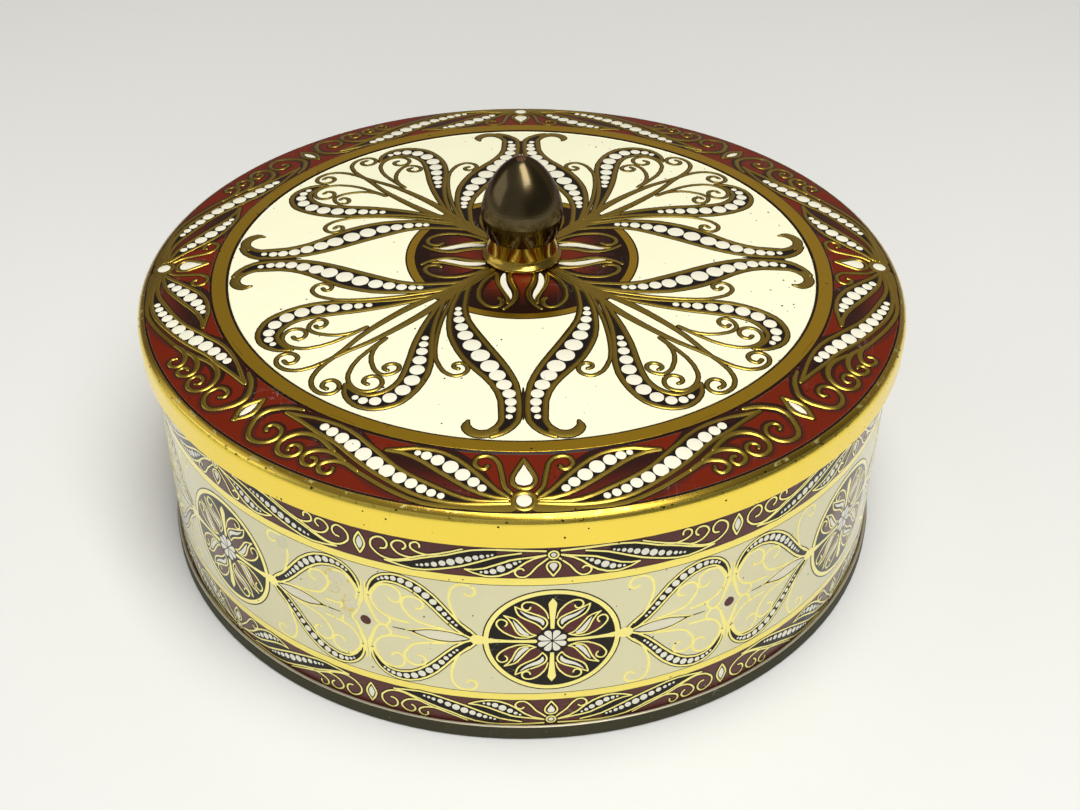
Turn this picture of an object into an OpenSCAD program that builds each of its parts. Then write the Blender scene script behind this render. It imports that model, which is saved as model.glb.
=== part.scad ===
// Round decorative tin with a slip lid and an acorn knob.
// Millimetres, +Z up. The origin is the middle of the ring that the tin stands on.
// Every tinplate piece is a centre line with the sheet's thickness on it, turned about +Z.

/* [Tinplate] */
// Thickness of the tinplate
sheet = 0.25; // [0.2:0.01:0.35]

/* [Body] */
// Outside diameter of the wall
body_d = 149; // [110:1:200]
// Height of the body, from the table to the top of its curl
body_h = 53.4; // [35:0.1:90]
// Diameter of the curl rolled outwards along the top edge
curl_d = 1.4; // [1.2:0.05:2]
// How far round the curl is rolled, in degrees
curl_sweep = 280; // [200:5:290]
// Width of the folded lock seam up the back
lock_w = 4; // [3:0.5:6]
// Layers of sheet that the lock seam adds inside the wall
lock_layers = 2; // [1:1:3]
// Distance that the lock seam stops short of the curl and of the double seam
lock_notch = 6; // [4:0.5:10]

/* [Base] */
// Height of the double seam, which is the foot ring
seam_h = 3.2; // [2.8:0.1:4]
// Play between neighbouring layers in the double seam
seam_play = 0.04; // [0.02:0.01:0.06]
// Length of the wall's hook inside the double seam
wall_hook = 1.7; // [1.3:0.1:2]
// Length of the base's hook inside the double seam
base_hook = 1.7; // [1.3:0.1:2]
// Radius of the rounded lower corners of the foot ring
foot_corner = 0.45; // [0.4:0.05:0.55]
// Height of the base panel above the table
panel_rise = 4.4; // [4:0.1:8]
// Radius of the corner between the panel and its upright rim
panel_corner = 0.9; // [0.6:0.1:2]
// Diameter of the stiffening bead pressed into the panel
bead_d = 116; // [60:1:128]
// Width of the stiffening bead
bead_w = 7; // [4:0.5:12]
// Height of the stiffening bead
bead_h = 0.8; // [0.4:0.1:1.5]

/* [Lid] */
// Gap all round between the hem and the curl that it slips over
lid_play = 0.25; // [0.15:0.05:0.5]
// Gap between the lid and the curl that it rests on
seat_gap = 0.2; // [0.1:0.05:0.3]
// Radius of the rounded shoulder
shoulder_r = 2.2; // [1.6:0.1:3.5]
// Height of the lid's edge, from the top of the shoulder to the hem
skirt_h = 6.5; // [5.5:0.1:14]
// Height of the hem folded up inside the skirt
hem_h = 2; // [1.2:0.1:3]
// Space left inside the fold of the hem
hem_space = 0.06; // [0.04:0.01:0.1]
// Outside diameter of the ring round the lid's panel
ring_d = 123.8; // [90:0.1:128]
// Width of the ring
ring_w = 3.3; // [2:0.1:6]
// Height of the ring over the panel's edge
ring_rise = 0.25; // [0.1:0.05:0.5]
// Width of the slope at each edge of the ring
ring_slope = 0.5; // [0.3:0.1:0.8]
// Drop of the border, from the ring to the shoulder
border_drop = 1.8; // [0.6:0.1:3]
// Rise of the crowned panel, from the ring to the knob
crown_rise = 1.7; // [0.4:0.1:4]
// How full the crown is towards the ring: 2 is an even curve
crown_fullness = 2.5; // [2:0.1:3.5]

/* [Knob] */
// Height of the whole knob above the lid
knob_h = 21.9; // [18:0.1:32]
// Largest diameter of the acorn
acorn_d = 16.2; // [15.6:0.1:22]
// Height of the acorn's widest place above the lid
acorn_waist = 9.9; // [8:0.1:12]
// How pointed the acorn is: 2 is a round dome, 1 is a cone
acorn_point = 1.7; // [1.2:0.05:2]
// How full the acorn's flanks are
acorn_fullness = 0.59; // [0.5:0.01:0.8]
// Diameter of the acorn's lower lip
lip_d = 14.2; // [14.2:0.1:15.4]
// Height of the collar
collar_h = 5.4; // [3.6:0.1:6]
// Diameter of the collar's neck
neck_d = 13.9; // [12:0.1:14.2]
// Diameter of the collar's foot ring
foot_d = 15.9; // [15:0.1:20]
// Height of the rounded foot ring
foot_h = 1.1; // [0.8:0.1:1.6]
// Height of the flare between the foot ring and the neck
flare_h = 1.3; // [0.8:0.1:1.8]

/* [Fixing] */
// Diameter of the screw
screw_d = 4; // [3:0.5:5]
// Length of screw inside the acorn
screw_grip = 6; // [4:0.5:8]
// Depth left over at the end of the tapped hole
tap_spare = 1; // [0.5:0.5:2]
// Play between the screw and the tapped hole
thread_play = 0.05; // [0.03:0.01:0.1]
// Play between the screw and the plain holes
hole_play = 0.2; // [0.1:0.05:0.4]
// Diameter of the screw's head
head_d = 7.4; // [6.5:0.1:9]
// Height of the screw's head
head_h = 1.9; // [1.4:0.1:2.4]
// Height of the rounded part of the screw's head
head_round = 0.8; // [0.4:0.1:1.2]
// Width of the slot in the screw's head
slot_w = 1; // [0.8:0.1:1.4]
// Depth of the slot in the screw's head
slot_deep = 0.9; // [0.6:0.1:1.2]
// Diameter of the washer
washer_d = 11; // [10:0.5:14]
// Thickness of the washer
washer_t = 0.8; // [0.6:0.1:1.2]

/* [Hidden] */
$fn = 128;
// Steps in a quarter of a turn, in a bead or crown, and along the acorn's flank
quarter_steps = 6;
bead_steps = 12;
crown_steps = 16;
flank_steps = 30;

// Wall and the layers of the double seam, from the inside out
wall_r = body_d / 2;
layer = sheet + seam_play;
wall_mid = wall_r - sheet / 2;
chuck_mid = wall_mid - layer;
base_hook_mid = wall_mid + layer;
wall_hook_mid = wall_mid + 2 * layer;
seam_mid = wall_mid + 3 * layer;
fold_r = layer;
wall_fold_z = sheet + seam_play + sheet / 2 + fold_r;
seam_top_z = seam_h - sheet / 2 - fold_r;
foot_bend = foot_corner - sheet / 2;
panel_z = panel_rise + sheet / 2;
panel_bend = panel_corner - sheet / 2;

// Curl on the body's top edge
curl_bend = (curl_d - sheet) / 2;
curl_x = wall_mid + curl_bend;
curl_z = body_h - curl_d / 2;
curl_out = curl_x + curl_d / 2;

// Lid, seated on the curl
hem_bend = (sheet + hem_space) / 2;
lid_r = curl_out + lid_play + 2 * sheet + hem_space;
skirt_mid = lid_r - sheet / 2;
shoulder_x = lid_r - shoulder_r;
shoulder_bend = shoulder_r - sheet / 2;
seat_reach = shoulder_r - sheet - curl_d / 2 - seat_gap;
seat_side = max(0, curl_x - shoulder_x);
shoulder_z = curl_z - sqrt(seat_reach * seat_reach - seat_side * seat_side);
hem_fold_z = shoulder_z + shoulder_r - skirt_h + sheet / 2 + hem_bend;
ring_out = ring_d / 2;
ring_in = ring_out - ring_w;
border_x = ring_out + ring_slope / 2;
border_lean = atan(border_drop / (shoulder_x - border_x));
border_z = shoulder_z + shoulder_bend * cos(border_lean) + border_drop;
seat_r = foot_d / 2 + ring_slope;
seat_z = border_z + crown_rise;

// Knob and its fixing, stacked on the lid
knob_z = seat_z + sheet / 2;
bore_r = screw_d / 2 + hole_play;
washer_z = seat_z - sheet / 2 - washer_t;
collar_top = knob_z + collar_h;

// Points along an arc about c, from angle a to angle b
function arc(c, r, a, b, n = quarter_steps) = [
    for (i = [0:n]) let (w = a + (b - a) * i / n) c + r * [cos(w), sin(w)]
];

// Normal of the stretch from p to q
function normal(p, q) = let (d = q - p) [-d.y, d.x] / norm(d);

// Offset of point i of a path, square to the path and mitred at its bends
function offset_dir(path, i) =
    let (
        last = len(path) - 1,
        before = normal(path[max(i - 1, 0)], path[max(i, 1)]),
        after = normal(path[min(i, last - 1)], path[min(i + 1, last)])
    )
    (before + after) / (1 + before * after);

// Outline of sheet metal that follows a centre line
function sheet_outline(path) = concat(
    [for (i = [0:len(path) - 1]) path[i] + sheet / 2 * offset_dir(path, i)],
    [for (i = [len(path) - 1:-1:0]) path[i] - sheet / 2 * offset_dir(path, i)]
);

// A sheet metal piece, turned about +Z
module turned_sheet(path) {
    rotate_extrude()
        polygon(sheet_outline(path));
}

// From the hook in the double seam, up the wall and round the curl
function wall_path() = concat(
    [[wall_hook_mid, wall_fold_z + wall_hook]],
    arc([base_hook_mid, wall_fold_z], fold_r, 0, -180, 2 * quarter_steps),
    arc([curl_x, curl_z], curl_bend, 180, 180 - curl_sweep, 4 * quarter_steps)
);

module body_wall() {
    lock_in = wall_r - sheet - lock_layers * sheet;
    lock_low = seam_h + lock_notch;
    lock_high = body_h - curl_d - lock_notch;
    lock_turn = lock_w / wall_r * 180 / PI;
    color("#cfcab2") {
        union() {
            turned_sheet(wall_path());
            // Folded layers of the lock seam, at the back
            rotate([0, 0, 90 - lock_turn / 2])
                rotate_extrude(angle = lock_turn)
                    translate([lock_in, lock_low])
                        square([lock_layers * sheet + sheet / 2, lock_high - lock_low]);
        }
    }
}

// Across the panel, down its upright rim, round the foot and into the wall's hook
function base_path() = concat(
    [[0, panel_z]],
    [
        for (i = [0:bead_steps])
            [
                (bead_d - bead_w) / 2 + bead_w * i / bead_steps,
                panel_z + bead_h * (1 - cos(360 * i / bead_steps)) / 2
            ]
    ],
    arc([chuck_mid - panel_bend, panel_z - panel_bend], panel_bend, 90, 0),
    arc([chuck_mid + foot_bend, sheet / 2 + foot_bend], foot_bend, 180, 270),
    arc([seam_mid - foot_bend, sheet / 2 + foot_bend], foot_bend, -90, 0),
    arc([wall_hook_mid, seam_top_z], fold_r, 0, 180, 2 * quarter_steps),
    [[base_hook_mid, seam_top_z - base_hook]]
);

module base_plate() {
    color("#4a4938")
        turned_sheet(base_path());
}

// From the screw's hole, over the crowned panel, the ring and the border, and down to the hem
function lid_path() = concat(
    [[bore_r, seat_z]],
    [
        for (i = [0:crown_steps])
            let (s = i / crown_steps)
            [seat_r + (ring_in - ring_slope / 2 - seat_r) * s, seat_z - crown_rise * pow(s, crown_fullness)]
    ],
    [
        [ring_in + ring_slope / 2, border_z + ring_rise],
        [ring_out - ring_slope / 2, border_z + ring_rise],
        [border_x, border_z]
    ],
    arc([shoulder_x, shoulder_z], shoulder_bend, 90 - border_lean, 0, 2 * quarter_steps),
    arc([skirt_mid - hem_bend, hem_fold_z], hem_bend, 0, -180, quarter_steps),
    [[skirt_mid - 2 * hem_bend, hem_fold_z + hem_h]]
);

module lid_shell() {
    color("#f3edd2")
        turned_sheet(lid_path());
}

// Underside of the acorn, from its lip out to its widest place, then the flank up to its tip
function acorn_outline() = concat(
    [[0, collar_h], [lip_d / 2, collar_h]],
    [
        for (i = [1:quarter_steps])
            let (a = 90 * i / quarter_steps)
            [
                lip_d / 2 + (acorn_d - lip_d) / 2 * sin(a) * sin(a),
                collar_h + (acorn_waist - collar_h) * (1 - cos(a))
            ]
    ],
    [
        for (i = [1:flank_steps])
            let (s = sin(90 * i / flank_steps))
            [
                i == flank_steps ? 0 : acorn_d / 2 * pow(1 - pow(s, acorn_point), acorn_fullness),
                acorn_waist + (knob_h - acorn_waist) * s
            ]
    ]
);

module knob_cap() {
    color("#5d4a26")
        translate([0, 0, knob_z])
            difference() {
                rotate_extrude()
                    polygon(acorn_outline());
                // Tapped hole
                translate([0, 0, collar_h - tap_spare])
                    cylinder(r = screw_d / 2 + thread_play, h = screw_grip + 2 * tap_spare);
            }
}

// Foot ring, flare and neck of the collar
function collar_outline() =
    let (
        bead_r = foot_h / 2,
        bead_x = foot_d / 2 - bead_r,
        neck_r = neck_d / 2
    )
    concat(
        [[bore_r, 0]],
        arc([bead_x, bead_r], bead_r, -90, 60, 2 * quarter_steps),
        [
            for (i = [1:quarter_steps])
                let (s = i / quarter_steps)
                [
                    neck_r + (bead_x + bead_r * cos(60) - neck_r) * (1 - s) * (1 - s),
                    bead_r + bead_r * sin(60) + flare_h * s
                ]
        ],
        [[neck_r, collar_h], [bore_r, collar_h]]
    );

module knob_collar() {
    color("#7d6426")
        translate([0, 0, knob_z])
            rotate_extrude()
                polygon(collar_outline());
}

module fixing_screw() {
    head_top = washer_z;
    head_low = head_top - head_h;
    color("#8d8a80") {
        difference() {
            union() {
                translate([0, 0, head_low + head_round])
                    cylinder(d = head_d, h = head_h - head_round);
                // Rounded face of the head
                translate([0, 0, head_low])
                    rotate_extrude()
                        polygon(concat(
                            [[0, head_round]],
                            [
                                for (i = [0:quarter_steps])
                                    let (a = 90 * i / quarter_steps)
                                    [
                                        i == quarter_steps ? 0 : head_d / 2 * cos(a),
                                        head_round * (1 - sin(a))
                                    ]
                            ]
                        ));
                translate([0, 0, head_top - head_h / 4])
                    cylinder(d = screw_d, h = collar_top + screw_grip - head_top + head_h / 4);
            }
            translate([-head_d, -slot_w / 2, head_low - slot_deep])
                cube([2 * head_d, slot_w, 2 * slot_deep]);
        }
    }
}

module fixing_washer() {
    color("#a3a198")
        translate([0, 0, washer_z])
            rotate_extrude()
                translate([bore_r, 0])
                    square([washer_d / 2 - bore_r, washer_t]);
}

body_wall();
base_plate();
lid_shell();
knob_cap();
knob_collar();
fixing_screw();
fixing_washer();
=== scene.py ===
"""Looks of a round decorative tin: a crowned slip lid with an acorn knob, on a printed wall.

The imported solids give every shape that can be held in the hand. This file adds the finishes,
the embossed and printed ornament, the studio and the camera. Ornament is drawn flat, in
millimetres, and is then laid on the lid or rolled round the wall as thin closed relief.
"""
import logging
import math
from dataclasses import dataclass, field
from enum import Enum
from typing import Iterable, Mapping, Sequence

import bpy
import numpy as np
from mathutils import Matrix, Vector


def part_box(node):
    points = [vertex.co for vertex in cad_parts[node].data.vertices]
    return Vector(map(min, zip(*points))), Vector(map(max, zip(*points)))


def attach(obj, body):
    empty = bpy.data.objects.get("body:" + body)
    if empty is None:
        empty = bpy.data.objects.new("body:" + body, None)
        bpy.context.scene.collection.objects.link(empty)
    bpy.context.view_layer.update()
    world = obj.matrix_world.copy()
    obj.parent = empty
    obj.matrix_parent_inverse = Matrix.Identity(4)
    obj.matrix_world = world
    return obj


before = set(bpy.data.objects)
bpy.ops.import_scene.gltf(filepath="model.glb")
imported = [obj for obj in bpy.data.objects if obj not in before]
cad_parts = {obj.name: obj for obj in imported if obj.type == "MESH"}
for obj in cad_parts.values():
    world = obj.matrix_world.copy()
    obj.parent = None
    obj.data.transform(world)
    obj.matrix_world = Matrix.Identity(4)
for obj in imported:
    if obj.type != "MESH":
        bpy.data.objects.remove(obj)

LOG = logging.getLogger("tin")
MM = 0.001
TINY = 1e-9

Point = tuple[float, float]
Points = Sequence[Sequence[float]]
Bead = tuple[float, float, float]
Colour = tuple[float, float, float]
Face = tuple[int, ...]
Widths = float | Sequence[float]
Socket = bpy.types.NodeSocket
Source = Socket | float | tuple


def ink(red: int, green: int, blue: int) -> Colour:
    """Gives the linear colour of an ink.

    Args:
        red: Red as seen, 0 to 255.
        green: Green as seen, 0 to 255.
        blue: Blue as seen, 0 to 255.

    Returns:
        The colour as a shader takes it.
    """
    def linear(seen: int) -> float:
        """Undoes the display curve for one channel."""
        part = seen / 255
        return part / 12.92 if part <= 0.04045 else ((part + 0.055) / 1.055) ** 2.4

    return linear(red), linear(green), linear(blue)


CREAM = ink(251, 249, 214)
WHITE = ink(255, 255, 255)
GREY_CREAM = ink(216, 210, 170)
GOLD = ink(250, 222, 90)
PALE_GOLD = ink(250, 238, 146)
STRIPE_GOLD = ink(250, 232, 120)
STAIN = ink(214, 192, 92)
OLD_GOLD = ink(222, 182, 50)
# Painted shade: a darker gold for the lid's rounded shoulder, standing in for the darker
# reflection there.
SHADED_SHOULDER_GOLD = ink(192, 160, 56)
LINE_GOLD = ink(184, 157, 66)
RED = ink(109, 32, 13)
SHADED_RED = ink(44, 18, 13)
MAROON = ink(80, 33, 29)
BLACK = ink(27, 22, 21)
WALL_BLACK = ink(22, 14, 4)
BROWN_BLACK = ink(34, 17, 10)
TIN = ink(196, 194, 182)
INNER_TIN = ink(190, 182, 158)


class Ink(Enum):
    """What each layer of the ornament is made of, named as its piece is."""

    GOLD = "gold_scrolls"
    DARK = "dark_outlines"
    GROUND = "black_grounds"
    SHADE = "shaded_grounds"
    FILL = "red_fills"
    PALE = "pale_beads"


class Repeat(Enum):
    """How a motif comes back round its face."""

    ONCE = "once"
    MIRRORED = "mirrored"
    UPRIGHT = "upright"
    LEVEL = "level"
    DIAGONAL = "diagonal"
    CORNERS = "corners"
    BETWEEN = "between"
    MIDWAY = "midway"


class ZoneAxis(Enum):
    """What a sheet's print zones are measured along."""

    RADIUS = "radius"
    HEIGHT = "height"


def run_along(path: np.ndarray) -> np.ndarray:
    """Distance of each sample of a path from its start."""
    return np.concatenate([[0], np.cumsum(np.hypot(*np.diff(path[:, :2], axis=0).T))])


def headings(path: np.ndarray, closed: bool = False) -> tuple[np.ndarray, np.ndarray]:
    """Which way a path runs.

    Args:
        path: Samples, x and y first.
        closed: True if the end joins the start.

    Returns:
        At each sample, the unit vectors along the path and to its left.
    """
    middle = path[:, :2]
    if closed:
        ahead = np.roll(middle, -1, axis=0) - np.roll(middle, 1, axis=0)
    else:
        ahead = np.gradient(middle, axis=0)
    ahead /= np.maximum(np.hypot(*ahead.T), TINY)[:, None]
    return ahead, np.column_stack([-ahead[:, 1], ahead[:, 0]])


def smooth(points: Points, step: float, between: int = 20) -> np.ndarray:
    """Runs a smooth curve through points and samples it evenly.

    Args:
        points: Rows of x, y and any further values that change along the curve.
        step: Distance between samples.
        between: Places worked out between two points, before the even samples are taken.

    Returns:
        Rows as given, with the running number of the control point as a last column.
    """
    knots = np.asarray(points, float)
    knots = np.column_stack([knots, np.arange(len(knots))])
    chord = np.maximum(np.hypot(*np.diff(knots[:, :2], axis=0).T), 1e-6)
    slope = np.diff(knots, axis=0) / chord[:, None]
    lean = np.empty_like(knots)
    if len(knots) > 2:
        before, after = chord[:-1, None], chord[1:, None]
        lean[1:-1] = (slope[:-1] * after + slope[1:] * before) / (before + after)
        lean[0] = 1.5 * slope[0] - 0.5 * lean[1]
        lean[-1] = 1.5 * slope[-1] - 0.5 * lean[-2]
    else:
        lean[:] = slope[0]
    part = np.linspace(0, 1, between, endpoint=False)[:, None]
    fine = [
        a * (2 * part**3 - 3 * part**2 + 1)
        + b * (3 * part**2 - 2 * part**3)
        + start * length * (part**3 - 2 * part**2 + part)
        + end * length * (part**3 - part**2)
        for a, b, start, end, length in zip(knots, knots[1:], lean, lean[1:], chord)
    ]
    curve = np.vstack([*fine, knots[-1:]])
    run = run_along(curve)
    at = np.linspace(0, run[-1], max(3, int(round(run[-1] / step)) + 1))
    return np.column_stack([np.interp(at, run, column) for column in curve.T])


def thinned(path: np.ndarray, turn: float = 0.2, gap: float = 2.2) -> np.ndarray:
    """Keeps fewer samples where a path runs nearly straight.

    Args:
        path: Samples, x and y first.
        turn: Most that the path may turn between kept samples, in radians.
        gap: Longest stretch between kept samples.

    Returns:
        The kept samples, ends included.
    """
    legs = np.diff(path[:, :2], axis=0)
    heading = np.unwrap(np.arctan2(legs[:, 1], legs[:, 0]))
    length = np.hypot(*legs.T)
    kept, turned, gone = [0], 0.0, 0.0
    for i in range(1, len(path) - 1):
        turned += abs(heading[i] - heading[i - 1])
        gone += length[i - 1]
        if turned >= turn or gone >= gap:
            kept.append(i)
            turned, gone = 0.0, 0.0
    kept.append(len(path) - 1)
    return path[kept]


def both_sides(centre: Points, step: float = 0.25) -> tuple[np.ndarray, np.ndarray]:
    """The two edges of a band.

    Args:
        centre: Rows of x, y and half-width along its middle.
        step: Distance between samples.

    Returns:
        Points of the right and of the left edge.
    """
    path = smooth(centre, step)
    aside = headings(path)[1] * path[:, 2:3]
    return path[:, :2] - aside, path[:, :2] + aside


@dataclass(frozen=True)
class Section:
    """Cross-section of a raised line, in millimetres.

    Attributes:
        rise: Height of the middle above the face.
        edge: Height of the edges above the face.
        sink: How far the closed underside lies below the face.
        steps: Points across the top.
    """

    rise: float
    edge: float
    sink: float
    steps: int = 5

    def outline(self) -> np.ndarray:
        """Rows of place across, -1 to 1, and height, from the right foot to the left foot."""
        across = np.linspace(-1, 1, self.steps)
        height = self.edge + (self.rise - self.edge) * (1 - across**2)
        top = np.column_stack([across, height])
        return np.vstack([[-1, -self.sink], top, [1, -self.sink]])


@dataclass
class Relief:
    """Closed shapes of one ink in flat coordinates: x, y and height, in millimetres.

    Attributes:
        THINNEST: Least half-width of a line.
        END_REACH: How far the steps of a round end reach, as shares of the half-width there.
        END_WIDTH: Half-widths at those steps, as shares.
        points: Corners of each shape.
        faces: Faces of all shapes.
        count: Number of corners so far.
    """

    THINNEST = 0.03
    END_REACH = np.array([0.5, 0.87, 1.0])
    END_WIDTH = np.array([0.87, 0.5, 0.12])

    points: list[np.ndarray] = field(default_factory=list)
    faces: list[Face] = field(default_factory=list)
    count: int = 0

    def add(self, points: np.ndarray, faces: Iterable[Face]) -> None:
        """Takes in one closed shape.

        Args:
            points: Its corners.
            faces: Its faces, numbered within the shape.
        """
        start = self.count
        self.points.append(points)
        self.faces.extend(tuple(start + i for i in face) for face in faces)
        self.count += len(points)

    def loft(self, grid: np.ndarray, closed: bool = False) -> None:
        """Joins outlines that follow each other.

        Args:
            grid: Corners of each outline, from the first to the last one.
            closed: True if the last one joins the first, and neither gets a cap.
        """
        n, m = grid.shape[:2]
        faces = []
        for i in range(n if closed else n - 1):
            a, b = i * m, (i + 1) % n * m
            for j in range(m):
                k = (j + 1) % m
                faces.append((a + j, b + j, b + k, a + k))
        if not closed:
            faces.append(tuple(range(m)))
            faces.append(tuple(reversed(range((n - 1) * m, n * m))))
        self.add(grid.reshape(-1, 3), faces)

    def ribbon(
        self, path: np.ndarray, half: np.ndarray, section: Section, closed: bool = False
    ) -> None:
        """Lays a raised line along a path, with round ends.

        Args:
            path: Samples, x and y first.
            half: Half-width at each sample.
            section: Cross-section of the line.
            closed: True if the end joins the start.
        """
        middle = path[:, :2]
        ahead, left = headings(path, closed)
        half = np.maximum(half, self.THINNEST)
        scale = np.ones(len(half))
        if not closed:
            reach, narrow = self.END_REACH, self.END_WIDTH
            head = middle[0] - ahead[0] * (reach * half[0])[::-1, None]
            tail = middle[-1] + ahead[-1] * (reach * half[-1])[:, None]
            middle = np.vstack([head, middle, tail])
            left = np.vstack([[left[0]] * len(reach), left, [left[-1]] * len(reach)])
            half = np.concatenate([half[0] * narrow[::-1], half, half[-1] * narrow])
            scale = np.concatenate([narrow[::-1], scale, narrow])
        across, height = section.outline().T
        grid = np.empty((len(middle), len(across), 3))
        aside = (half[:, None] * across)[..., None]
        grid[:, :, :2] = middle[:, None] + left[:, None] * aside
        lift = np.maximum(height - section.edge, 0)
        grid[:, :, 2] = np.minimum(height, section.edge) + scale[:, None] * lift
        self.loft(grid, closed)

    def strip(self, right: np.ndarray, left: np.ndarray, rise: float, sink: float) -> None:
        """Fills the space between two edges that run the same way.

        Args:
            right: Samples of the right edge.
            left: Samples of the left edge, as many.
            rise: Height of the top.
            sink: Depth of the underside.
        """
        middle = (right + left) / 2
        rows = ((right, -sink), (right, rise), (middle, rise), (left, rise), (left, -sink))
        self.loft(np.stack(
            [np.column_stack([edge, np.full(len(edge), height)]) for edge, height in rows], axis=1
        ))

    def dome(
        self, outline: np.ndarray, rise: float, sink: float, edge: float, rings: int,
        shoulder: float,
    ) -> None:
        """Raises a low dome over an outline.

        Args:
            outline: Points round the shape, counter-clockwise.
            rise: Height of the middle.
            sink: Depth of the underside.
            edge: Height of the edge as a share of the rise, 1 for a flat top.
            rings: Rings of faces between edge and middle.
            shoulder: How far in from the edge the rounded shoulder reaches, as a share.
        """
        n = len(outline)
        middle = outline.mean(axis=0)
        rows = []
        for k in range(rings):
            inward = shoulder * k / rings
            height = rise * (edge + (1 - edge) * (1 - (1 - inward) ** 4))
            ring = middle + (outline - middle) * (1 - inward)
            rows.append(np.column_stack([ring, np.full(n, height)]))
        under = [row * (1, 1, 0) - (0, 0, sink) for row in (rows if edge == 1 else rows[:1])]
        points = np.vstack([*rows, [[*middle, rise]], *under, [[*middle, -sink]]])
        low = rings * n + 1
        faces = []
        for i in range(n):
            j = (i + 1) % n
            faces.append((low + i, low + j, j, i))
            for start, count, turn in ((0, rings, 1), (low, len(under), -1)):
                last = start + (count - 1) * n
                for k in range(start, last, n):
                    faces.append((k + i, k + j, k + n + j, k + n + i)[::turn])
                faces.append((last + i, last + j, last + n)[::turn])
        self.add(points, faces)


def round_outline(centre: Point, radius: float, sides: int) -> np.ndarray:
    """Points of a circle.

    Args:
        centre: Its middle.
        radius: Its radius.
        sides: How many points.

    Returns:
        The points, counter-clockwise.
    """
    angle = np.arange(sides) * 2 * math.pi / sides
    return np.column_stack(
        [centre[0] + radius * np.cos(angle), centre[1] + radius * np.sin(angle)]
    )


def pointed_outline(half: Points) -> np.ndarray:
    """Points of a shape that is the same on both sides of its axis.

    Args:
        half: Height along the axis and half-width, from one end to the other.

    Returns:
        The points, counter-clockwise.
    """
    along, out = np.asarray(half, float).T
    outline = np.vstack([
        np.column_stack([out, along]), np.column_stack([-out[::-1], along[::-1]])
    ])
    keep = np.hypot(*(outline - np.roll(outline, 1, axis=0)).T) > 1e-4
    return outline[keep]


def put_in_scene(
    name: str, points: Sequence[Sequence[float]], faces: Sequence[Face],
    material: bpy.types.Material,
) -> bpy.types.Object:
    """Makes a mesh object of one material.

    Args:
        name: Its name.
        points: Its corners, in metres.
        faces: Its faces.
        material: Its material.

    Returns:
        The object.
    """
    mesh = bpy.data.meshes.new(name)
    mesh.from_pydata(points, [], faces)
    mesh.materials.append(material)
    piece = bpy.data.objects.new(name, mesh)
    bpy.context.scene.collection.objects.link(piece)
    return piece


@dataclass
class LidFace:
    """The lid's top, seen from above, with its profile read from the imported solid.

    Attributes:
        UPWARD: Upright part of a normal from which a corner belongs to the top.
        radius: Radii of the profile in metres.
        height: Heights of the profile in metres.
        turn: Angle by which the pattern is turned to the right, in degrees.
    """

    UPWARD = 0.2

    radius: np.ndarray
    height: np.ndarray
    turn: float = 0.26

    @classmethod
    def of(cls, node: bpy.types.Object) -> "LidFace":
        """Reads the profile of the top from a node's mesh.

        Args:
            node: The lid's solid.

        Returns:
            The face.
        """
        top: dict[float, float] = {}
        for vertex in node.data.vertices:
            if vertex.normal.z > cls.UPWARD:
                r = round(math.hypot(vertex.co.x, vertex.co.y), 5)
                top[r] = max(top.get(r, 0.0), vertex.co.z)
        order = sorted(top)
        return cls(np.array(order), np.array([top[r] for r in order]))

    def copies(self, repeat: Repeat) -> list[tuple[np.ndarray, np.ndarray]]:
        """Four turns of a motif drawn outwards from the middle towards the front.

        Args:
            repeat: MIRRORED for both hands of each, DIAGONAL for a start halfway between,
                CORNERS for both.

        Returns:
            Matrix and shift of each copy.
        """
        hands = (1, -1) if repeat in (Repeat.MIRRORED, Repeat.CORNERS) else (1,)
        start = self.turn + (45 if repeat in (Repeat.DIAGONAL, Repeat.CORNERS) else 0)
        found = []
        for turn in (0, 90, 180, 270):
            c, s = math.cos(math.radians(turn + start)), math.sin(math.radians(turn + start))
            for hand in hands:
                matrix = np.array([[c, -s], [s, c]]) @ np.array([[hand, 0], [0, -1]])
                found.append((matrix, np.zeros(2)))
        return found

    def place(self, flat: np.ndarray) -> np.ndarray:
        """Sets flat points on the crowned top.

        Args:
            flat: Rows of x, y and height in millimetres.

        Returns:
            Places in metres.
        """
        placed = flat * MM
        placed[:, 2] += np.interp(np.hypot(placed[:, 0], placed[:, 1]), self.radius, self.height)
        return placed


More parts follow.
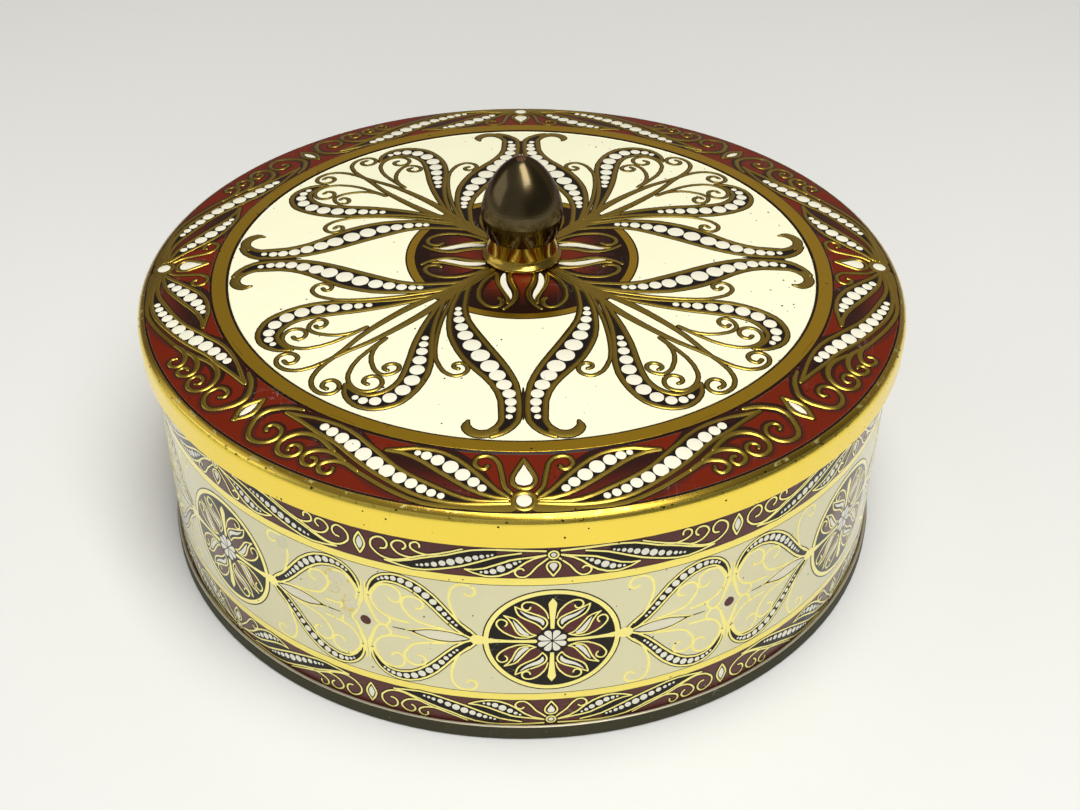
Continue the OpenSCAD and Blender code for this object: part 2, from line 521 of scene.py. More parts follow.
@dataclass
class WallFace:
    """The outside of the wall, unrolled from the middle of the front.

    Attributes:
        radius: Radius of the wall in millimetres.
        middle: Height of the pattern's middle line in millimetres.
        turn: Angle by which the pattern is turned to the right, in degrees.
        repeats: How many repeats go round.
    """

    radius: float
    middle: float
    turn: float = 4.03
    repeats: int = 7

    @property
    def start(self) -> float:
        """Where the front repeat's middle is, in millimetres round the wall."""
        return math.radians(self.turn) * self.radius

    def copies(self, repeat: Repeat) -> list[tuple[np.ndarray, np.ndarray]]:
        """All repeats round the wall.

        Args:
            repeat: Which mirror images each repeat has; BETWEEN for what sits between two, above
                and below; CORNERS for both hands of that; MIDWAY for what sits there once.

        Returns:
            Matrix and shift of each copy.
        """
        both = (Repeat.MIRRORED, Repeat.CORNERS)
        sideways = (1, -1) if repeat in (*both, Repeat.LEVEL) else (1,)
        upright = (1, -1) if repeat in (*both, Repeat.UPRIGHT, Repeat.BETWEEN) else (1,)
        at = np.arange(self.repeats) - (self.repeats - 1) / 2
        if repeat in (Repeat.BETWEEN, Repeat.CORNERS, Repeat.MIDWAY):
            at += 0.5
        pitch = 2 * math.pi / self.repeats * self.radius
        return [
            (np.diag([a, b]).astype(float), np.array([self.start + k * pitch, 0.0]))
            for k in at
            for a in sideways
            for b in upright
        ]

    def place(self, flat: np.ndarray) -> np.ndarray:
        """Rolls flat points round the wall.

        Args:
            flat: Rows of x, y and height in millimetres.

        Returns:
            Places in metres.
        """
        angle = flat[:, 0] / self.radius
        out = self.radius + flat[:, 2]
        return MM * np.column_stack(
            [out * np.sin(angle), -out * np.cos(angle), self.middle + flat[:, 1]]
        )


@dataclass(frozen=True)
class Layers:
    """Heights of the printed or embossed layers above the sheet, in millimetres.

    Attributes:
        shade: Top of the soft dark grounds.
        fill: Top of the red fills.
        ground: Top of the black grounds.
        outline: Top of the dark outlines.
        bead: Middle of a bead.
        line: Middle of a gold line.
        sink: Depth of the closed undersides.
        rim: Width of the dark outline of a gold line.
        across: Points across a gold line.
        step: Distance between samples of a curve.
        sides: Points round a bead.
        gap: Share of a bead's room that the bead fills.
        under: Height of the dark edge under a gold line, as a share of the dark outlines.
    """

    shade: float
    fill: float
    ground: float
    outline: float
    bead: float
    line: float
    sink: float
    rim: float
    across: int
    step: float
    sides: int
    gap: float = 0.97
    under: float = 0.85

    def top(self, kind: Ink) -> float:
        """Height of the top of a shape of one ink."""
        heights = {Ink.SHADE: self.shade, Ink.FILL: self.fill, Ink.GROUND: self.ground,
                   Ink.DARK: self.outline, Ink.PALE: self.bead}
        return heights.get(kind, self.line)


class Ornament:
    """The pattern on one face, gathered by ink and repeat.

    Attributes:
        SHARP: Angle from which an edge of the relief is sharp, in degrees.
        INSET: How far the ends of a ground are drawn in, as a share of their last step.
        SAMPLES: Least and most samples along a ground.
        BEAD: Height of a bead's edge and reach of its shoulder, as shares.
        FLAT: The same for a flat top.
    """

    SHARP = 38
    INSET = 0.04
    SAMPLES = (10, 40)
    BEAD = (0.3, 0.6)
    FLAT = (1.0, 1.0)

    def __init__(self, name: str, face: LidFace | WallFace, layers: Layers) -> None:
        """Starts an empty pattern.

        Args:
            name: First word of the names of its pieces.
            face: The face that carries it.
            layers: Heights of its layers.
        """
        self.name, self.face, self.layers = name, face, layers
        self.reliefs: dict[tuple[Ink, Repeat], Relief] = {}

    def relief(self, kind: Ink, repeat: Repeat) -> Relief:
        """The shapes of one ink and repeat."""
        return self.reliefs.setdefault((kind, repeat), Relief())

    def ribbon(
        self, path: np.ndarray, half: np.ndarray, repeat: Repeat, edge: float | None = None,
        rise: float | None = None, kind: Ink = Ink.GOLD, closed: bool = False,
    ) -> None:
        """Lays a line along samples, and its dark edge under it if it is gold.

        Args:
            path: Samples, x and y first.
            half: Half-width at each sample.
            repeat: How it comes back round the face.
            edge: Width of the dark edge if not the usual one, 0 for none.
            rise: Height of its middle, if not the usual one.
            kind: The ink.
            closed: True if the end joins the start.
        """
        layers, flat = self.layers, kind is not Ink.GOLD
        top = layers.top(kind) if rise is None else rise
        section = Section(top, top if flat else layers.outline, layers.sink,
                          2 if flat else layers.across)
        self.relief(kind, repeat).ribbon(path, half, section, closed)
        dark = layers.rim if edge is None else edge
        if dark and not flat:
            height = layers.outline * layers.under
            under = Section(height, height, layers.sink, 2)
            self.relief(Ink.DARK, repeat).ribbon(path, half + dark, under, closed)

    def line(
        self, points: Points, width: Widths, repeat: Repeat = Repeat.MIRRORED, **style: object
    ) -> None:
        """Draws a line, raised and with a dark edge if it is gold.

        Args:
            points: What it runs through.
            width: Its width, or widths spread evenly from start to end.
            repeat: How it comes back round the face.
            style: Its edge, rise and ink, as a ribbon takes them.
        """
        path = thinned(smooth(points, self.layers.step))
        widths = np.atleast_1d(np.asarray(width, float))
        run = run_along(path)
        half = np.interp(run / run[-1], np.linspace(0, 1, len(widths)), widths) / 2
        self.ribbon(path, half, repeat, **style)

    def leaf(
        self, edges: tuple[Points, Points], width: Widths, beads: Iterable[Bead], **style: object
    ) -> None:
        """Draws a leaf: black ground, two gold edge lines and a string of beads.

        Args:
            edges: Points of its two edges, both from the stalk to the tip.
            width: Width of the edge lines, or widths from stalk to tip.
            beads: Centre and radius of each bead.
            style: The lines' edge and rise, as a ribbon takes them.
        """
        self.between(*edges)
        for points in edges:
            self.line(points, width, **style)
        self.beads(beads)

    def between(
        self, first: Points, second: Points, repeat: Repeat = Repeat.MIRRORED,
        kind: Ink = Ink.GROUND,
    ) -> None:
        """Fills the space between two edges that run the same way.

        Args:
            first: Points of one edge.
            second: Points of the other edge.
            repeat: How it comes back round the face.
            kind: The ink.
        """
        count = int(np.clip(3 * max(len(first), len(second)), *self.SAMPLES))
        edges = []
        for points in (first, second):
            fine = smooth(points, self.layers.step)
            at, index = np.linspace(0, len(fine) - 1, count), np.arange(len(fine))
            edge = np.column_stack([np.interp(at, index, fine[:, k]) for k in (0, 1)])
            edge[0] += self.INSET * (edge[1] - edge[0])
            edge[-1] += self.INSET * (edge[-2] - edge[-1])
            edges.append(edge)
        x, y = np.vstack([edges[0], edges[1][::-1]]).T
        if np.sum(x * np.roll(y, -1) - y * np.roll(x, -1)) < 0:
            edges.reverse()
        self.relief(kind, repeat).strip(*edges, self.layers.top(kind), self.layers.sink)

    def beads(self, beads: Iterable[Bead], repeat: Repeat = Repeat.MIRRORED) -> None:
        """Sets domed beads.

        Args:
            beads: Centre and radius of each.
            repeat: How they come back round the face.
        """
        for x, y, radius in beads:
            outline = round_outline((x, y), radius * self.layers.gap, self.layers.sides)
            self.shape(outline, Ink.PALE, repeat)

    def shape(
        self, outline: np.ndarray, kind: Ink, repeat: Repeat, rise: float | None = None,
        rings: int = 2,
    ) -> None:
        """Raises a low dome of one ink over an outline.

        Args:
            outline: Points round it, counter-clockwise.
            kind: The ink.
            repeat: How it comes back round the face.
            rise: Height of a flat top, if it isn't a bead's dome.
            rings: Rings of faces from the edge to the middle.
        """
        top = self.layers.bead if rise is None else rise
        edge, shoulder = self.BEAD if rise is None else self.FLAT
        self.relief(kind, repeat).dome(outline, top, self.layers.sink, edge, rings, shoulder)

    def ring(
        self, centre: Point, inner: float, outer: float, repeat: Repeat, sides: int,
        edge: float | None = None,
    ) -> None:
        """Draws a raised gold ring with dark edges.

        Args:
            centre: Its middle.
            inner: Inner radius.
            outer: Outer radius.
            repeat: How it comes back round the face.
            sides: Points round it.
            edge: Width of the dark edge if not the usual one.
        """
        path = round_outline(centre, (inner + outer) / 2, sides)
        self.ribbon(path, np.full(sides, (outer - inner) / 2), repeat, edge, closed=True)

    def pieces(
        self, finishes: Mapping[Ink, "Finish"], effects: "Effects", body: str
    ) -> None:
        """Lays all copies on the face, one piece for each ink.

        Args:
            finishes: Finish of each ink.
            effects: The shared effects.
            body: The body that the pieces ride on.
        """
        for kind, finish in finishes.items():
            points, faces, count = [], [], 0
            for (this, repeat), relief in self.reliefs.items():
                if this is not kind:
                    continue
                flat = np.vstack(relief.points)
                for matrix, shift in self.face.copies(repeat):
                    moved = flat.copy()
                    moved[:, :2] = flat[:, :2] @ matrix.T + shift
                    way = -1 if np.linalg.det(matrix) < 0 else 1
                    points.append(self.face.place(moved))
                    faces += [tuple(count + i for i in f[::way]) for f in relief.faces]
                    count += len(flat)
            name = f"{self.name}_{kind.value}"
            corners = np.vstack(points).tolist()
            piece = put_in_scene(name, corners, faces, finish.material(effects))
            piece.data.polygons.foreach_set("use_smooth", [True] * len(faces))
            piece.data.set_sharp_from_angle(angle=math.radians(self.SHARP))
            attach(piece, body)
            LOG.info("%s: %d corners, %d faces", name, count, len(faces))


class Graph:
    """Short ways to add and join the nodes of one tree."""

    def __init__(self, tree: bpy.types.NodeTree) -> None:
        """Takes the tree to work on."""
        self.tree = tree

    def node(
        self, kind: str, feeds: Mapping[str | int, Source] | None = None, **settings: object
    ) -> bpy.types.Node:
        """Adds a node.

        Args:
            kind: Its type.
            feeds: What its inputs get, by name or number.
            settings: Properties to set on it.

        Returns:
            The node.
        """
        made = self.tree.nodes.new(kind)
        for name, value in settings.items():
            setattr(made, name, value)
        for key, source in (feeds or {}).items():
            self.feed(made.inputs[key], source)
        return made

    def feed(self, socket: Socket, source: Source) -> None:
        """Joins a socket to another one, or sets its value.

        Args:
            socket: The input.
            source: An output, a number or a tuple.
        """
        if isinstance(source, Socket):
            self.tree.links.new(source, socket)
        elif isinstance(source, tuple) and len(source) == 3 and socket.type == "RGBA":
            socket.default_value = (*source, 1.0)
        else:
            socket.default_value = source

    def math(self, operation: str, *values: Source, clamp: bool = False) -> Socket:
        """Works out a number.

        Args:
            operation: What is worked out.
            values: What from, in order.
            clamp: True to keep the result from 0 to 1.

        Returns:
            The result.
        """
        feeds = dict(enumerate(values))
        made = self.node("ShaderNodeMath", feeds, operation=operation, use_clamp=clamp)
        return made.outputs[0]

    def vector(self, operation: str, *values: Source, output: str = "Vector") -> Socket:
        """Works out a vector, or a number from vectors.

        Args:
            operation: What is worked out.
            values: What from, in order.
            output: Vector, or Value for a number.

        Returns:
            The result.
        """
        made = self.node("ShaderNodeVectorMath", dict(enumerate(values)), operation=operation)
        return made.outputs[output]

    def ramp(self, value: Source, low: Source, high: Source) -> Socket:
        """Adds a smooth rise from 0 to 1 as a value goes from low to high.

        Args:
            value: The value.
            low: Where the rise starts.
            high: Where it ends.

        Returns:
            The rise.
        """
        feeds = {"Value": value, "From Min": low, "From Max": high}
        made = self.node("ShaderNodeMapRange", feeds, interpolation_type="SMOOTHSTEP")
        return made.outputs["Result"]

    def mix(self, part: Source, first: Source, second: Source, way: str = "MIX") -> Socket:
        """Adds a mix of two colours.

        Args:
            part: Share of the second.
            first: Colour at 0.
            second: Colour at 1.
            way: How the second acts on the first.

        Returns:
            The mixed colour.
        """
        feeds = {0: part, 6: first, 7: second}
        return self.node("ShaderNodeMix", feeds, data_type="RGBA", blend_type=way).outputs[2]

    def blend(self, part: Source, first: Source, second: Source) -> Socket:
        """Adds a mix of two values.

        Args:
            part: Share of the second.
            first: Value at 0.
            second: Value at 1.

        Returns:
            The mixed value.
        """
        feeds = {0: part, 2: first, 3: second}
        return self.node("ShaderNodeMix", feeds, data_type="FLOAT").outputs[0]

    def noise(self, place: Source, scale: Source, detail: float = 2.0) -> Socket:
        """Adds a noise, about 0.5 in the middle.

        Args:
            place: Coordinates.
            scale: Number of changes to a metre.
            detail: How many finer layers it has.

        Returns:
            The noise.
        """
        feeds = {"Vector": place, "Scale": scale, "Detail": detail}
        return self.node("ShaderNodeTexNoise", feeds).outputs["Fac"]

    def along(self, place: Source, axis: ZoneAxis) -> Socket:
        """Measures a place.

        Args:
            place: Coordinates.
            axis: What is measured.

        Returns:
            Distance from the upright axis, or height.
        """
        x, y, z = self.node("ShaderNodeSeparateXYZ", {0: place}).outputs
        if axis is ZoneAxis.HEIGHT:
            return z
        return self.math("SQRT", self.math("ADD", self.math("MULTIPLY", x, x),
                                           self.math("MULTIPLY", y, y)))


class Effects:
    """Shared shader effects, each built once as a node group with one output."""

    def __init__(self) -> None:
        """Builds all groups."""
        self.zone = self.print_zone()
        self.rubbed = self.rubbed_band()
        self.specks = self.ink_specks()
        self.scratches = self.hairline_scratches()
        self.patch = self.worn_patch()
        self.mottle = self.tone_mottle()

    @staticmethod
    def start(
        name: str, numbers: Sequence[str], vectors: Sequence[str] = ("Vector",),
        output: str = "Mask",
    ) -> tuple[Graph, dict[str, Socket], Socket]:
        """Opens a new node group.

        Args:
            name: Its name.
            numbers: Names of its inputs that are numbers.
            vectors: Names of its inputs that are places.
            output: Name of its output.

        Returns:
            The graph, the sockets that bring the inputs and the one that takes the output.
        """
        tree = bpy.data.node_groups.new(name, "ShaderNodeTree")
        for names, way, kind in ((vectors, "INPUT", "Vector"), (numbers, "INPUT", "Float"),
                                 ((output,), "OUTPUT", "Float")):
            for label in names:
                tree.interface.new_socket(label, in_out=way, socket_type="NodeSocket" + kind)
        graph = Graph(tree)
        brought = {socket.name: socket for socket in graph.node("NodeGroupInput").outputs}
        return graph, brought, graph.node("NodeGroupOutput").inputs[output]

    def print_zone(self) -> bpy.types.NodeTree:
        """A band of print between two places, with a soft edge."""
        g, i, mask = self.start("print_zone", ("Position", "From", "To", "Feather"), ())
        low, high = (
            g.ramp(i["Position"], g.math("SUBTRACT", i[end], i["Feather"]),
                   g.math("ADD", i[end], i["Feather"]))
            for end in ("From", "To")
        )
        g.feed(mask, g.math("SUBTRACT", low, high, clamp=True))
        return g.tree

    def rubbed_band(self) -> bpy.types.NodeTree:
        """Rubbed places along a band with soft edges."""
        g, i, mask = self.start("rubbed_band", ("Position", "From", "To", "Scale", "Share"))
        detail, blur, fade = 4.0, 0.05, 0.3
        here = g.ramp(g.noise(i["Vector"], i["Scale"], detail), g.math("ADD", i["Share"], blur),
                      g.math("SUBTRACT", i["Share"], blur))
        soft = g.math("MULTIPLY", g.math("SUBTRACT", i["To"], i["From"]), fade)
        low = g.ramp(i["Position"], i["From"], g.math("ADD", i["From"], soft))
        high = g.ramp(i["Position"], i["To"], g.math("SUBTRACT", i["To"], soft))
        g.feed(mask, g.math("MULTIPLY", here, g.math("MULTIPLY", low, high)))
        return g.tree

    def ink_specks(self) -> bpy.types.NodeTree:
        """Small scattered pits and spots."""
        g, i, mask = self.start("ink_specks", ("Scale", "Amount"))
        finer, ragged, least, spread, blur = 4.0, 0.16, 0.06, 0.3, 0.06
        cells = g.node("ShaderNodeTexVoronoi", {"Vector": i["Vector"], "Scale": i["Scale"]},
                       feature="F1")
        wander = g.noise(i["Vector"], g.math("MULTIPLY", i["Scale"], finer))
        parts = g.node("ShaderNodeSeparateColor", {0: cells.outputs["Color"]}).outputs
        chosen = g.math("LESS_THAN", parts[0], i["Amount"])
        size = g.math("MULTIPLY", parts[1], spread)
        edge = g.math("ADD", cells.outputs["Distance"], g.math("MULTIPLY", wander, ragged))
        spot = g.ramp(edge, g.math("ADD", size, least + blur), g.math("ADD", size, least))
        g.feed(mask, g.math("MULTIPLY", chosen, spot))
        return g.tree

    def hairline_scratches(self) -> bpy.types.NodeTree:
        """Short fine scratches in two directions."""
        g, i, mask = self.start("hairline_scratches", ("Scale", "Amount"))
        ways = (((0.3, 0.2, 0.5), (1.0, 14.0, 6.0)), ((0.3, 0.2, 2.2), (12.0, 1.0, 9.0)))
        middle, widest, finer, kept = 0.5, 0.02, 2.5, (0.56, 0.66)
        lines = []
        for turn, stretch in ways:
            feeds = {"Vector": i["Vector"], "Rotation": turn, "Scale": stretch}
            place = g.node("ShaderNodeMapping", feeds).outputs[0]
            off = g.math("SUBTRACT", g.noise(place, i["Scale"], 1.0), middle)
            width = g.math("MULTIPLY", i["Amount"], widest)
            lines.append(g.ramp(g.math("ABSOLUTE", off), width, 0.0))
        where = g.noise(i["Vector"], g.math("MULTIPLY", i["Scale"], finer))
        g.feed(mask, g.math("MULTIPLY", g.math("MAXIMUM", *lines), g.ramp(where, *kept)))
        return g.tree

    def worn_patch(self) -> bpy.types.NodeTree:
        """A ragged patch round a place, where the finish has come off."""
        g, i, mask = self.start("worn_patch", ("Radius", "Ragged"), ("Vector", "Centre"))
        scale, detail, middle, full = 420.0, 4.0, 0.5, 0.86
        apart = g.vector("DISTANCE", i["Vector"], i["Centre"], output="Value")
        swing = g.math("SUBTRACT", g.noise(i["Vector"], scale, detail), middle)
        wander = g.math("MULTIPLY", swing, i["Ragged"])
        reach = g.math("ADD", g.math("DIVIDE", apart, i["Radius"]), wander)
        g.feed(mask, g.ramp(reach, 1.0, full))
        return g.tree

    def tone_mottle(self) -> bpy.types.NodeTree:
        """Slow change of tone, as a factor round 1."""
        g, i, factor = self.start("tone_mottle", ("Scale", "Strength"), output="Factor")
        detail, middle = 5.0, 0.5
        swing = g.math("SUBTRACT", g.noise(i["Vector"], i["Scale"], detail), middle)
        swing = g.math("MULTIPLY", swing, g.math("MULTIPLY", i["Strength"], 2.0))
        g.feed(factor, g.math("ADD", swing, 1.0))
        return g.tree


class Shading(Graph):
    """The nodes of one material, with the shared effects and the places on the object."""

    def __init__(self, tree: bpy.types.NodeTree, effects: Effects) -> None:
        """Takes the material's tree and the shared effects."""
        super().__init__(tree)
        self.effects = effects
        self.place = self.node("ShaderNodeTexCoord").outputs["Object"]

    def effect(self, group: bpy.types.NodeTree, **sources: Source) -> Socket:
        """Places a shared effect.

        Args:
            group: The effect.
            sources: What its inputs get. One that isn't named gets the place.

        Returns:
            Its output.
        """
        made = self.node("ShaderNodeGroup", node_tree=group)
        for socket in made.inputs:
            self.feed(socket, sources.get(socket.name, self.place))
        return made.outputs[0]


@dataclass(frozen=True)
class Patch:
    """A place where print has flaked, in metres.

    Attributes:
        centre: Its middle.
        radius: Its radius.
        ragged: How far its edge wanders, as a share of the radius.
        rim: Colour of the stain round it.
        reach: Radius of the stain, as a factor on the patch's own.
        bare_roughness: Roughness where the print is off.
        stain_scale: Number of breaks in the stain to a metre.
        stain_swing: How strongly the stain comes and goes.
        stain_cut: How much of it is left out.
        dirt_scale: Number of dirt cells to a metre.
        dirt: Share of these cells with dirt.
        dirt_depth: How far the dirt covers what is under it.
    """

    centre: tuple[float, float, float]
    radius: float
    ragged: float
    rim: Colour | None = None
    reach: float = 1.35
    bare_roughness: float = 0.55
    stain_scale: float = 620.0
    stain_swing: float = 6.0
    stain_cut: float = 0.7
    dirt_scale: float = 2400.0
    dirt: float = 0.4
    dirt_depth: float = 0.4

    def mask(self, on: Shading, wider: float = 1.0) -> Socket:
        """Where the patch is.

        Args:
            on: The material's nodes.
            wider: Factor on its radius.

        Returns:
            1 in the patch, 0 outside it.
        """
        return on.effect(on.effects.patch, Centre=self.centre, Radius=self.radius * wider,
                         Ragged=self.ragged)


@dataclass(frozen=True)
class Ageing:
    """How far a finish has aged.

    Attributes:
        mottle: Change of tone.
        mottle_scale: Number of slow changes to a metre.
        specks: Share of cells with a spot.
        speck_scale: Number of spot cells to a metre.
        scratches: Width of hairline scratches.
        scratch_scale: Number of scratches to a metre.
        scratch_depth: How far a scratch shows what is under the finish.
        spot: Colour of spots.
        spot_roughness: How much rougher a spot is.
        bare: Colour under scratches and flaked patches.
        patches: Flaked places.
    """

    mottle: float = 0.06
    mottle_scale: float = 60.0
    specks: float = 0.03
    speck_scale: float = 1500.0
    scratches: float = 0.15
    scratch_scale: float = 38.0
    scratch_depth: float = 0.28
    spot: Colour = BROWN_BLACK
    spot_roughness: float = 0.3
    bare: Colour = TIN
    patches: tuple[Patch, ...] = ()


@dataclass
class Coat:
    """Sockets of a coat of finish as it is put together."""

    colour: Source
    metallic: Source
    roughness: Source


@dataclass(frozen=True)
class Finish:
    """An even finish on metal: printed ink under lacquer, or gold lacquer.

    Attributes:
        name: Name of the material.
        colour: Its colour.
        metallic: 1 for gold lacquer and bare metal, 0 for ink.
        roughness: Roughness when new.
        gloss: Weight of the clear lacquer.
        age: How it has aged.
        glance: How much heavier the lacquer looks at a low angle.
        bump: Depth of the fine unevenness, in metres.
        specular: How strongly the ink itself mirrors its surroundings.
        edge: Tint of metal that is seen at a low angle.
        bump_strength: How strongly the fine unevenness shows.
        grain: Number of fine uneven places to a metre.
        grain_detail: How many finer layers they have.
        facing: Layer weights from which and up to which the lacquer gets heavier.
        coat_roughness: Roughness of the clear lacquer.
    """

    name: str
    colour: Colour
    metallic: float = 0.0
    roughness: float = 0.32
    gloss: float = 0.08
    age: Ageing = Ageing()
    glance: float = 0.0
    bump: float = 4e-6
    specular: float = 0.15
    edge: Colour = WHITE
    bump_strength: float = 0.35
    grain: float = 900.0
    grain_detail: float = 3.0
    facing: Point = (0.45, 0.8)
    coat_roughness: float = 0.08

    def material(self, effects: Effects) -> bpy.types.Material:
        """Builds the material.

        Args:
            effects: The shared effects.

        Returns:
            The material.
        """
        made = bpy.data.materials.new(self.name)
        made.use_nodes = True
        on = Shading(made.node_tree, effects)
        coat = self.aged(on, self.coat(on))
        weight: Source = self.gloss
        if self.glance:
            low = on.ramp(on.node("ShaderNodeLayerWeight").outputs["Facing"], *self.facing)
            weight = on.math("ADD", self.gloss, on.math("MULTIPLY", low, self.glance))
        uneven = on.noise(on.place, self.grain, self.grain_detail)
        bump = on.node("ShaderNodeBump", {"Strength": self.bump_strength,
                                          "Distance": self.bump, "Height": uneven})
        shader = made.node_tree.nodes["Principled BSDF"].inputs
        for name, source in (
            ("Base Color", coat.colour), ("Metallic", coat.metallic),
            ("Roughness", coat.roughness), ("Specular IOR Level", self.specular),
            ("Specular Tint", self.edge), ("Coat Weight", weight),
            ("Coat Roughness", self.coat_roughness), ("Normal", bump.outputs["Normal"]),
        ):
            on.feed(shader[name], source)
        return made

    def coat(self, on: Shading) -> Coat:
        """The finish as new."""
        return Coat(self.colour, self.metallic, self.roughness)

    def aged(self, on: Shading, coat: Coat) -> Coat:
        """Adds mottle, spots, scratches and flaked patches.

        Args:
            on: The material's nodes.
            coat: The finish as new.

        Returns:
            The aged finish.
        """
        age, effects = self.age, on.effects
        tone = on.effect(effects.mottle, Scale=age.mottle_scale, Strength=age.mottle)
        spots = on.effect(effects.specks, Scale=age.speck_scale, Amount=age.specks)
        hairs = on.effect(effects.scratches, Scale=age.scratch_scale, Amount=age.scratches)
        colour = on.mix(1.0, coat.colour, tone, "MULTIPLY")
        colour = on.mix(spots, colour, age.spot)
        colour = on.mix(on.math("MULTIPLY", hairs, age.scratch_depth), colour, age.bare)
        rough = on.math("ADD", on.math("MULTIPLY", coat.roughness, tone),
                        on.math("MULTIPLY", spots, age.spot_roughness), clamp=True)
        aged = Coat(colour, coat.metallic, rough)
        for patch in age.patches:
            self.flake(on, aged, patch)
        return aged

    def flake(self, on: Shading, coat: Coat, patch: Patch) -> None:
        """Takes the print off in one patch, with a broken stain round it and dirt in it.

        Args:
            on: The material's nodes.
            coat: The finish, which is changed.
            patch: The patch.
        """
        flaked = patch.mask(on)
        if patch.rim:
            broken = on.effect(on.effects.mottle, Scale=patch.stain_scale,
                               Strength=patch.stain_swing)
            broken = on.math("SUBTRACT", broken, patch.stain_cut, clamp=True)
            stained = on.math("MULTIPLY", patch.mask(on, patch.reach), broken)
            coat.colour = on.mix(stained, coat.colour, patch.rim)
        dirt = on.effect(on.effects.specks, Scale=patch.dirt_scale, Amount=patch.dirt)
        dirt = on.math("MULTIPLY", dirt, on.math("MULTIPLY", flaked, patch.dirt_depth))
        coat.colour = on.mix(flaked, coat.colour, self.age.bare)
        coat.colour = on.mix(dirt, coat.colour, self.age.spot)
        coat.roughness = on.blend(flaked, coat.roughness, patch.bare_roughness)
        left = on.math("SUBTRACT", 1.0, flaked)
        coat.metallic = on.math("MULTIPLY", coat.metallic, left, clamp=True)


@dataclass(frozen=True)
class Zone:
    """A band of one ink on a sheet, in millimetres along the zone axis."""

    low: float
    high: float
    colour: Colour
    metallic: float = 0.0
    roughness: float = 0.3


@dataclass(frozen=True)
class Rub:
    """A band that is rubbed in places, in millimetres along the zone axis.

    Attributes:
        low: Where the band starts.
        high: Where it ends.
        scale: Number of rubbed places to a metre.
        share: Noise value below which it is rubbed, about 0.5 for half of the band.
        colour: Colour of the rubbed places.
        roughness: Their roughness.
    """

    low: float
    high: float
    scale: float
    share: float
    colour: Colour
    roughness: float = 0.45


@dataclass(frozen=True)
class ZonedSheet(Finish):
    """Sheet printed in bands outside, with another finish inside.

    Attributes:
        zones: Bands, later ones over earlier ones.
        rubs: Rubbed bands, over the zones.
        axis: What the bands are measured along.
        up: How much an upward face counts as outside, below 0 for a downward one.
        inside: Colour of the inside.
        inner_metallic: How far the inside is bare metal.
        inner_roughness: Its roughness.
        feather: Half the width of a band's soft edge, in metres.
        turning: Where the sheet turns from inside to outside, as a dot product.
    """

    zones: tuple[Zone, ...] = ()
    rubs: tuple[Rub, ...] = ()
    axis: ZoneAxis = ZoneAxis.RADIUS
    up: float = 0.0
    inside: Colour = TIN
    inner_metallic: float = 0.55
    inner_roughness: float = 0.4
    feather: float = 2e-5
    turning: Point = (-0.12, 0.02)

    def coat(self, on: Shading) -> Coat:
        """Lays the bands over each other.

        Args:
            on: The material's nodes.

        Returns:
            The finish as new.
        """
        along = on.along(on.place, self.axis)
        coat = super().coat(on)
        for zone in self.zones:
            mask = on.effect(on.effects.zone, Position=along, From=zone.low * MM,
                             To=zone.high * MM, Feather=self.feather)
            coat.colour = on.mix(mask, coat.colour, zone.colour)
            coat.metallic = on.blend(mask, coat.metallic, zone.metallic)
            coat.roughness = on.blend(mask, coat.roughness, zone.roughness)
        for rub in self.rubs:
            mask = on.effect(on.effects.rubbed, Position=along, From=rub.low * MM,
                             To=rub.high * MM, Scale=rub.scale, Share=rub.share)
            coat.colour = on.mix(mask, coat.colour, rub.colour)
            coat.roughness = on.blend(mask, coat.roughness, rub.roughness)
        outward = on.vector("NORMALIZE", on.vector("MULTIPLY", on.place, (1.0, 1.0, 0.0)))
        facing = on.vector("DOT_PRODUCT", on.node("ShaderNodeNewGeometry").outputs["Normal"],
                           on.vector("ADD", outward, (0.0, 0.0, self.up)), output="Value")
        outside = on.ramp(facing, *self.turning)
        return Coat(
            on.mix(outside, self.inside, coat.colour),
            on.blend(outside, self.inner_metallic, coat.metallic),
            on.blend(outside, self.inner_roughness, coat.roughness),
        )


@dataclass(frozen=True)
class FadedFinish(Finish):
    """A finish that fades from one colour to another.

    Attributes:
        near: Colour up to the low end; the finish's own colour is past the high end.
        low: Where the fade starts, in metres.
        high: Where it ends, in metres.
        axis: What the fade is measured along.
    """

    near: Colour = GOLD
    low: float = 0.0
    high: float = 0.01
    axis: ZoneAxis = ZoneAxis.HEIGHT

    def coat(self, on: Shading) -> Coat:
        """Fades between the two colours."""
        far = on.ramp(on.along(on.place, self.axis), self.low, self.high)
        return Coat(on.mix(far, self.near, self.colour), self.metallic, self.roughness)


@dataclass(frozen=True)
class AntiqueBrass(FadedFinish):
    """Polished brass whose colour changes over a short height above its foot, tarnished and rubbed
    at its tip.

    Attributes:
        tip: The rubbed tip.
        tip_colour: Colour of the rubbed tip.
        tarnish: Change of roughness.
        tarnish_scale: Number of its changes to a metre.
    """

    tip: Patch = Patch((0.0, 0.0, 0.079), 0.0012, 1.2)
    tip_colour: Colour = ink(176, 132, 104)
    tarnish: float = 0.35
    tarnish_scale: float = 240.0

    def coat(self, on: Shading) -> Coat:
        """Rubs the tip and tarnishes the rest.

        Args:
            on: The material's nodes.

        Returns:
            The finish as new.
        """
        coat = super().coat(on)
        coat.colour = on.mix(self.tip.mask(on), coat.colour, self.tip_colour)
        tarnish = on.effect(on.effects.mottle, Scale=self.tarnish_scale, Strength=self.tarnish)
        coat.roughness = on.math("MULTIPLY", self.roughness, tarnish)
        return coat


def dress(name: str, material: bpy.types.Material) -> bpy.types.Object:
    """Gives a solid its material.

    Args:
        name: The node.
        material: The material.

    Returns:
        The node's object.
    """
    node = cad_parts[name]
    node.data.materials.clear()
    node.data.materials.append(material)
    LOG.info("%s: %s", name, material.name)
    return node


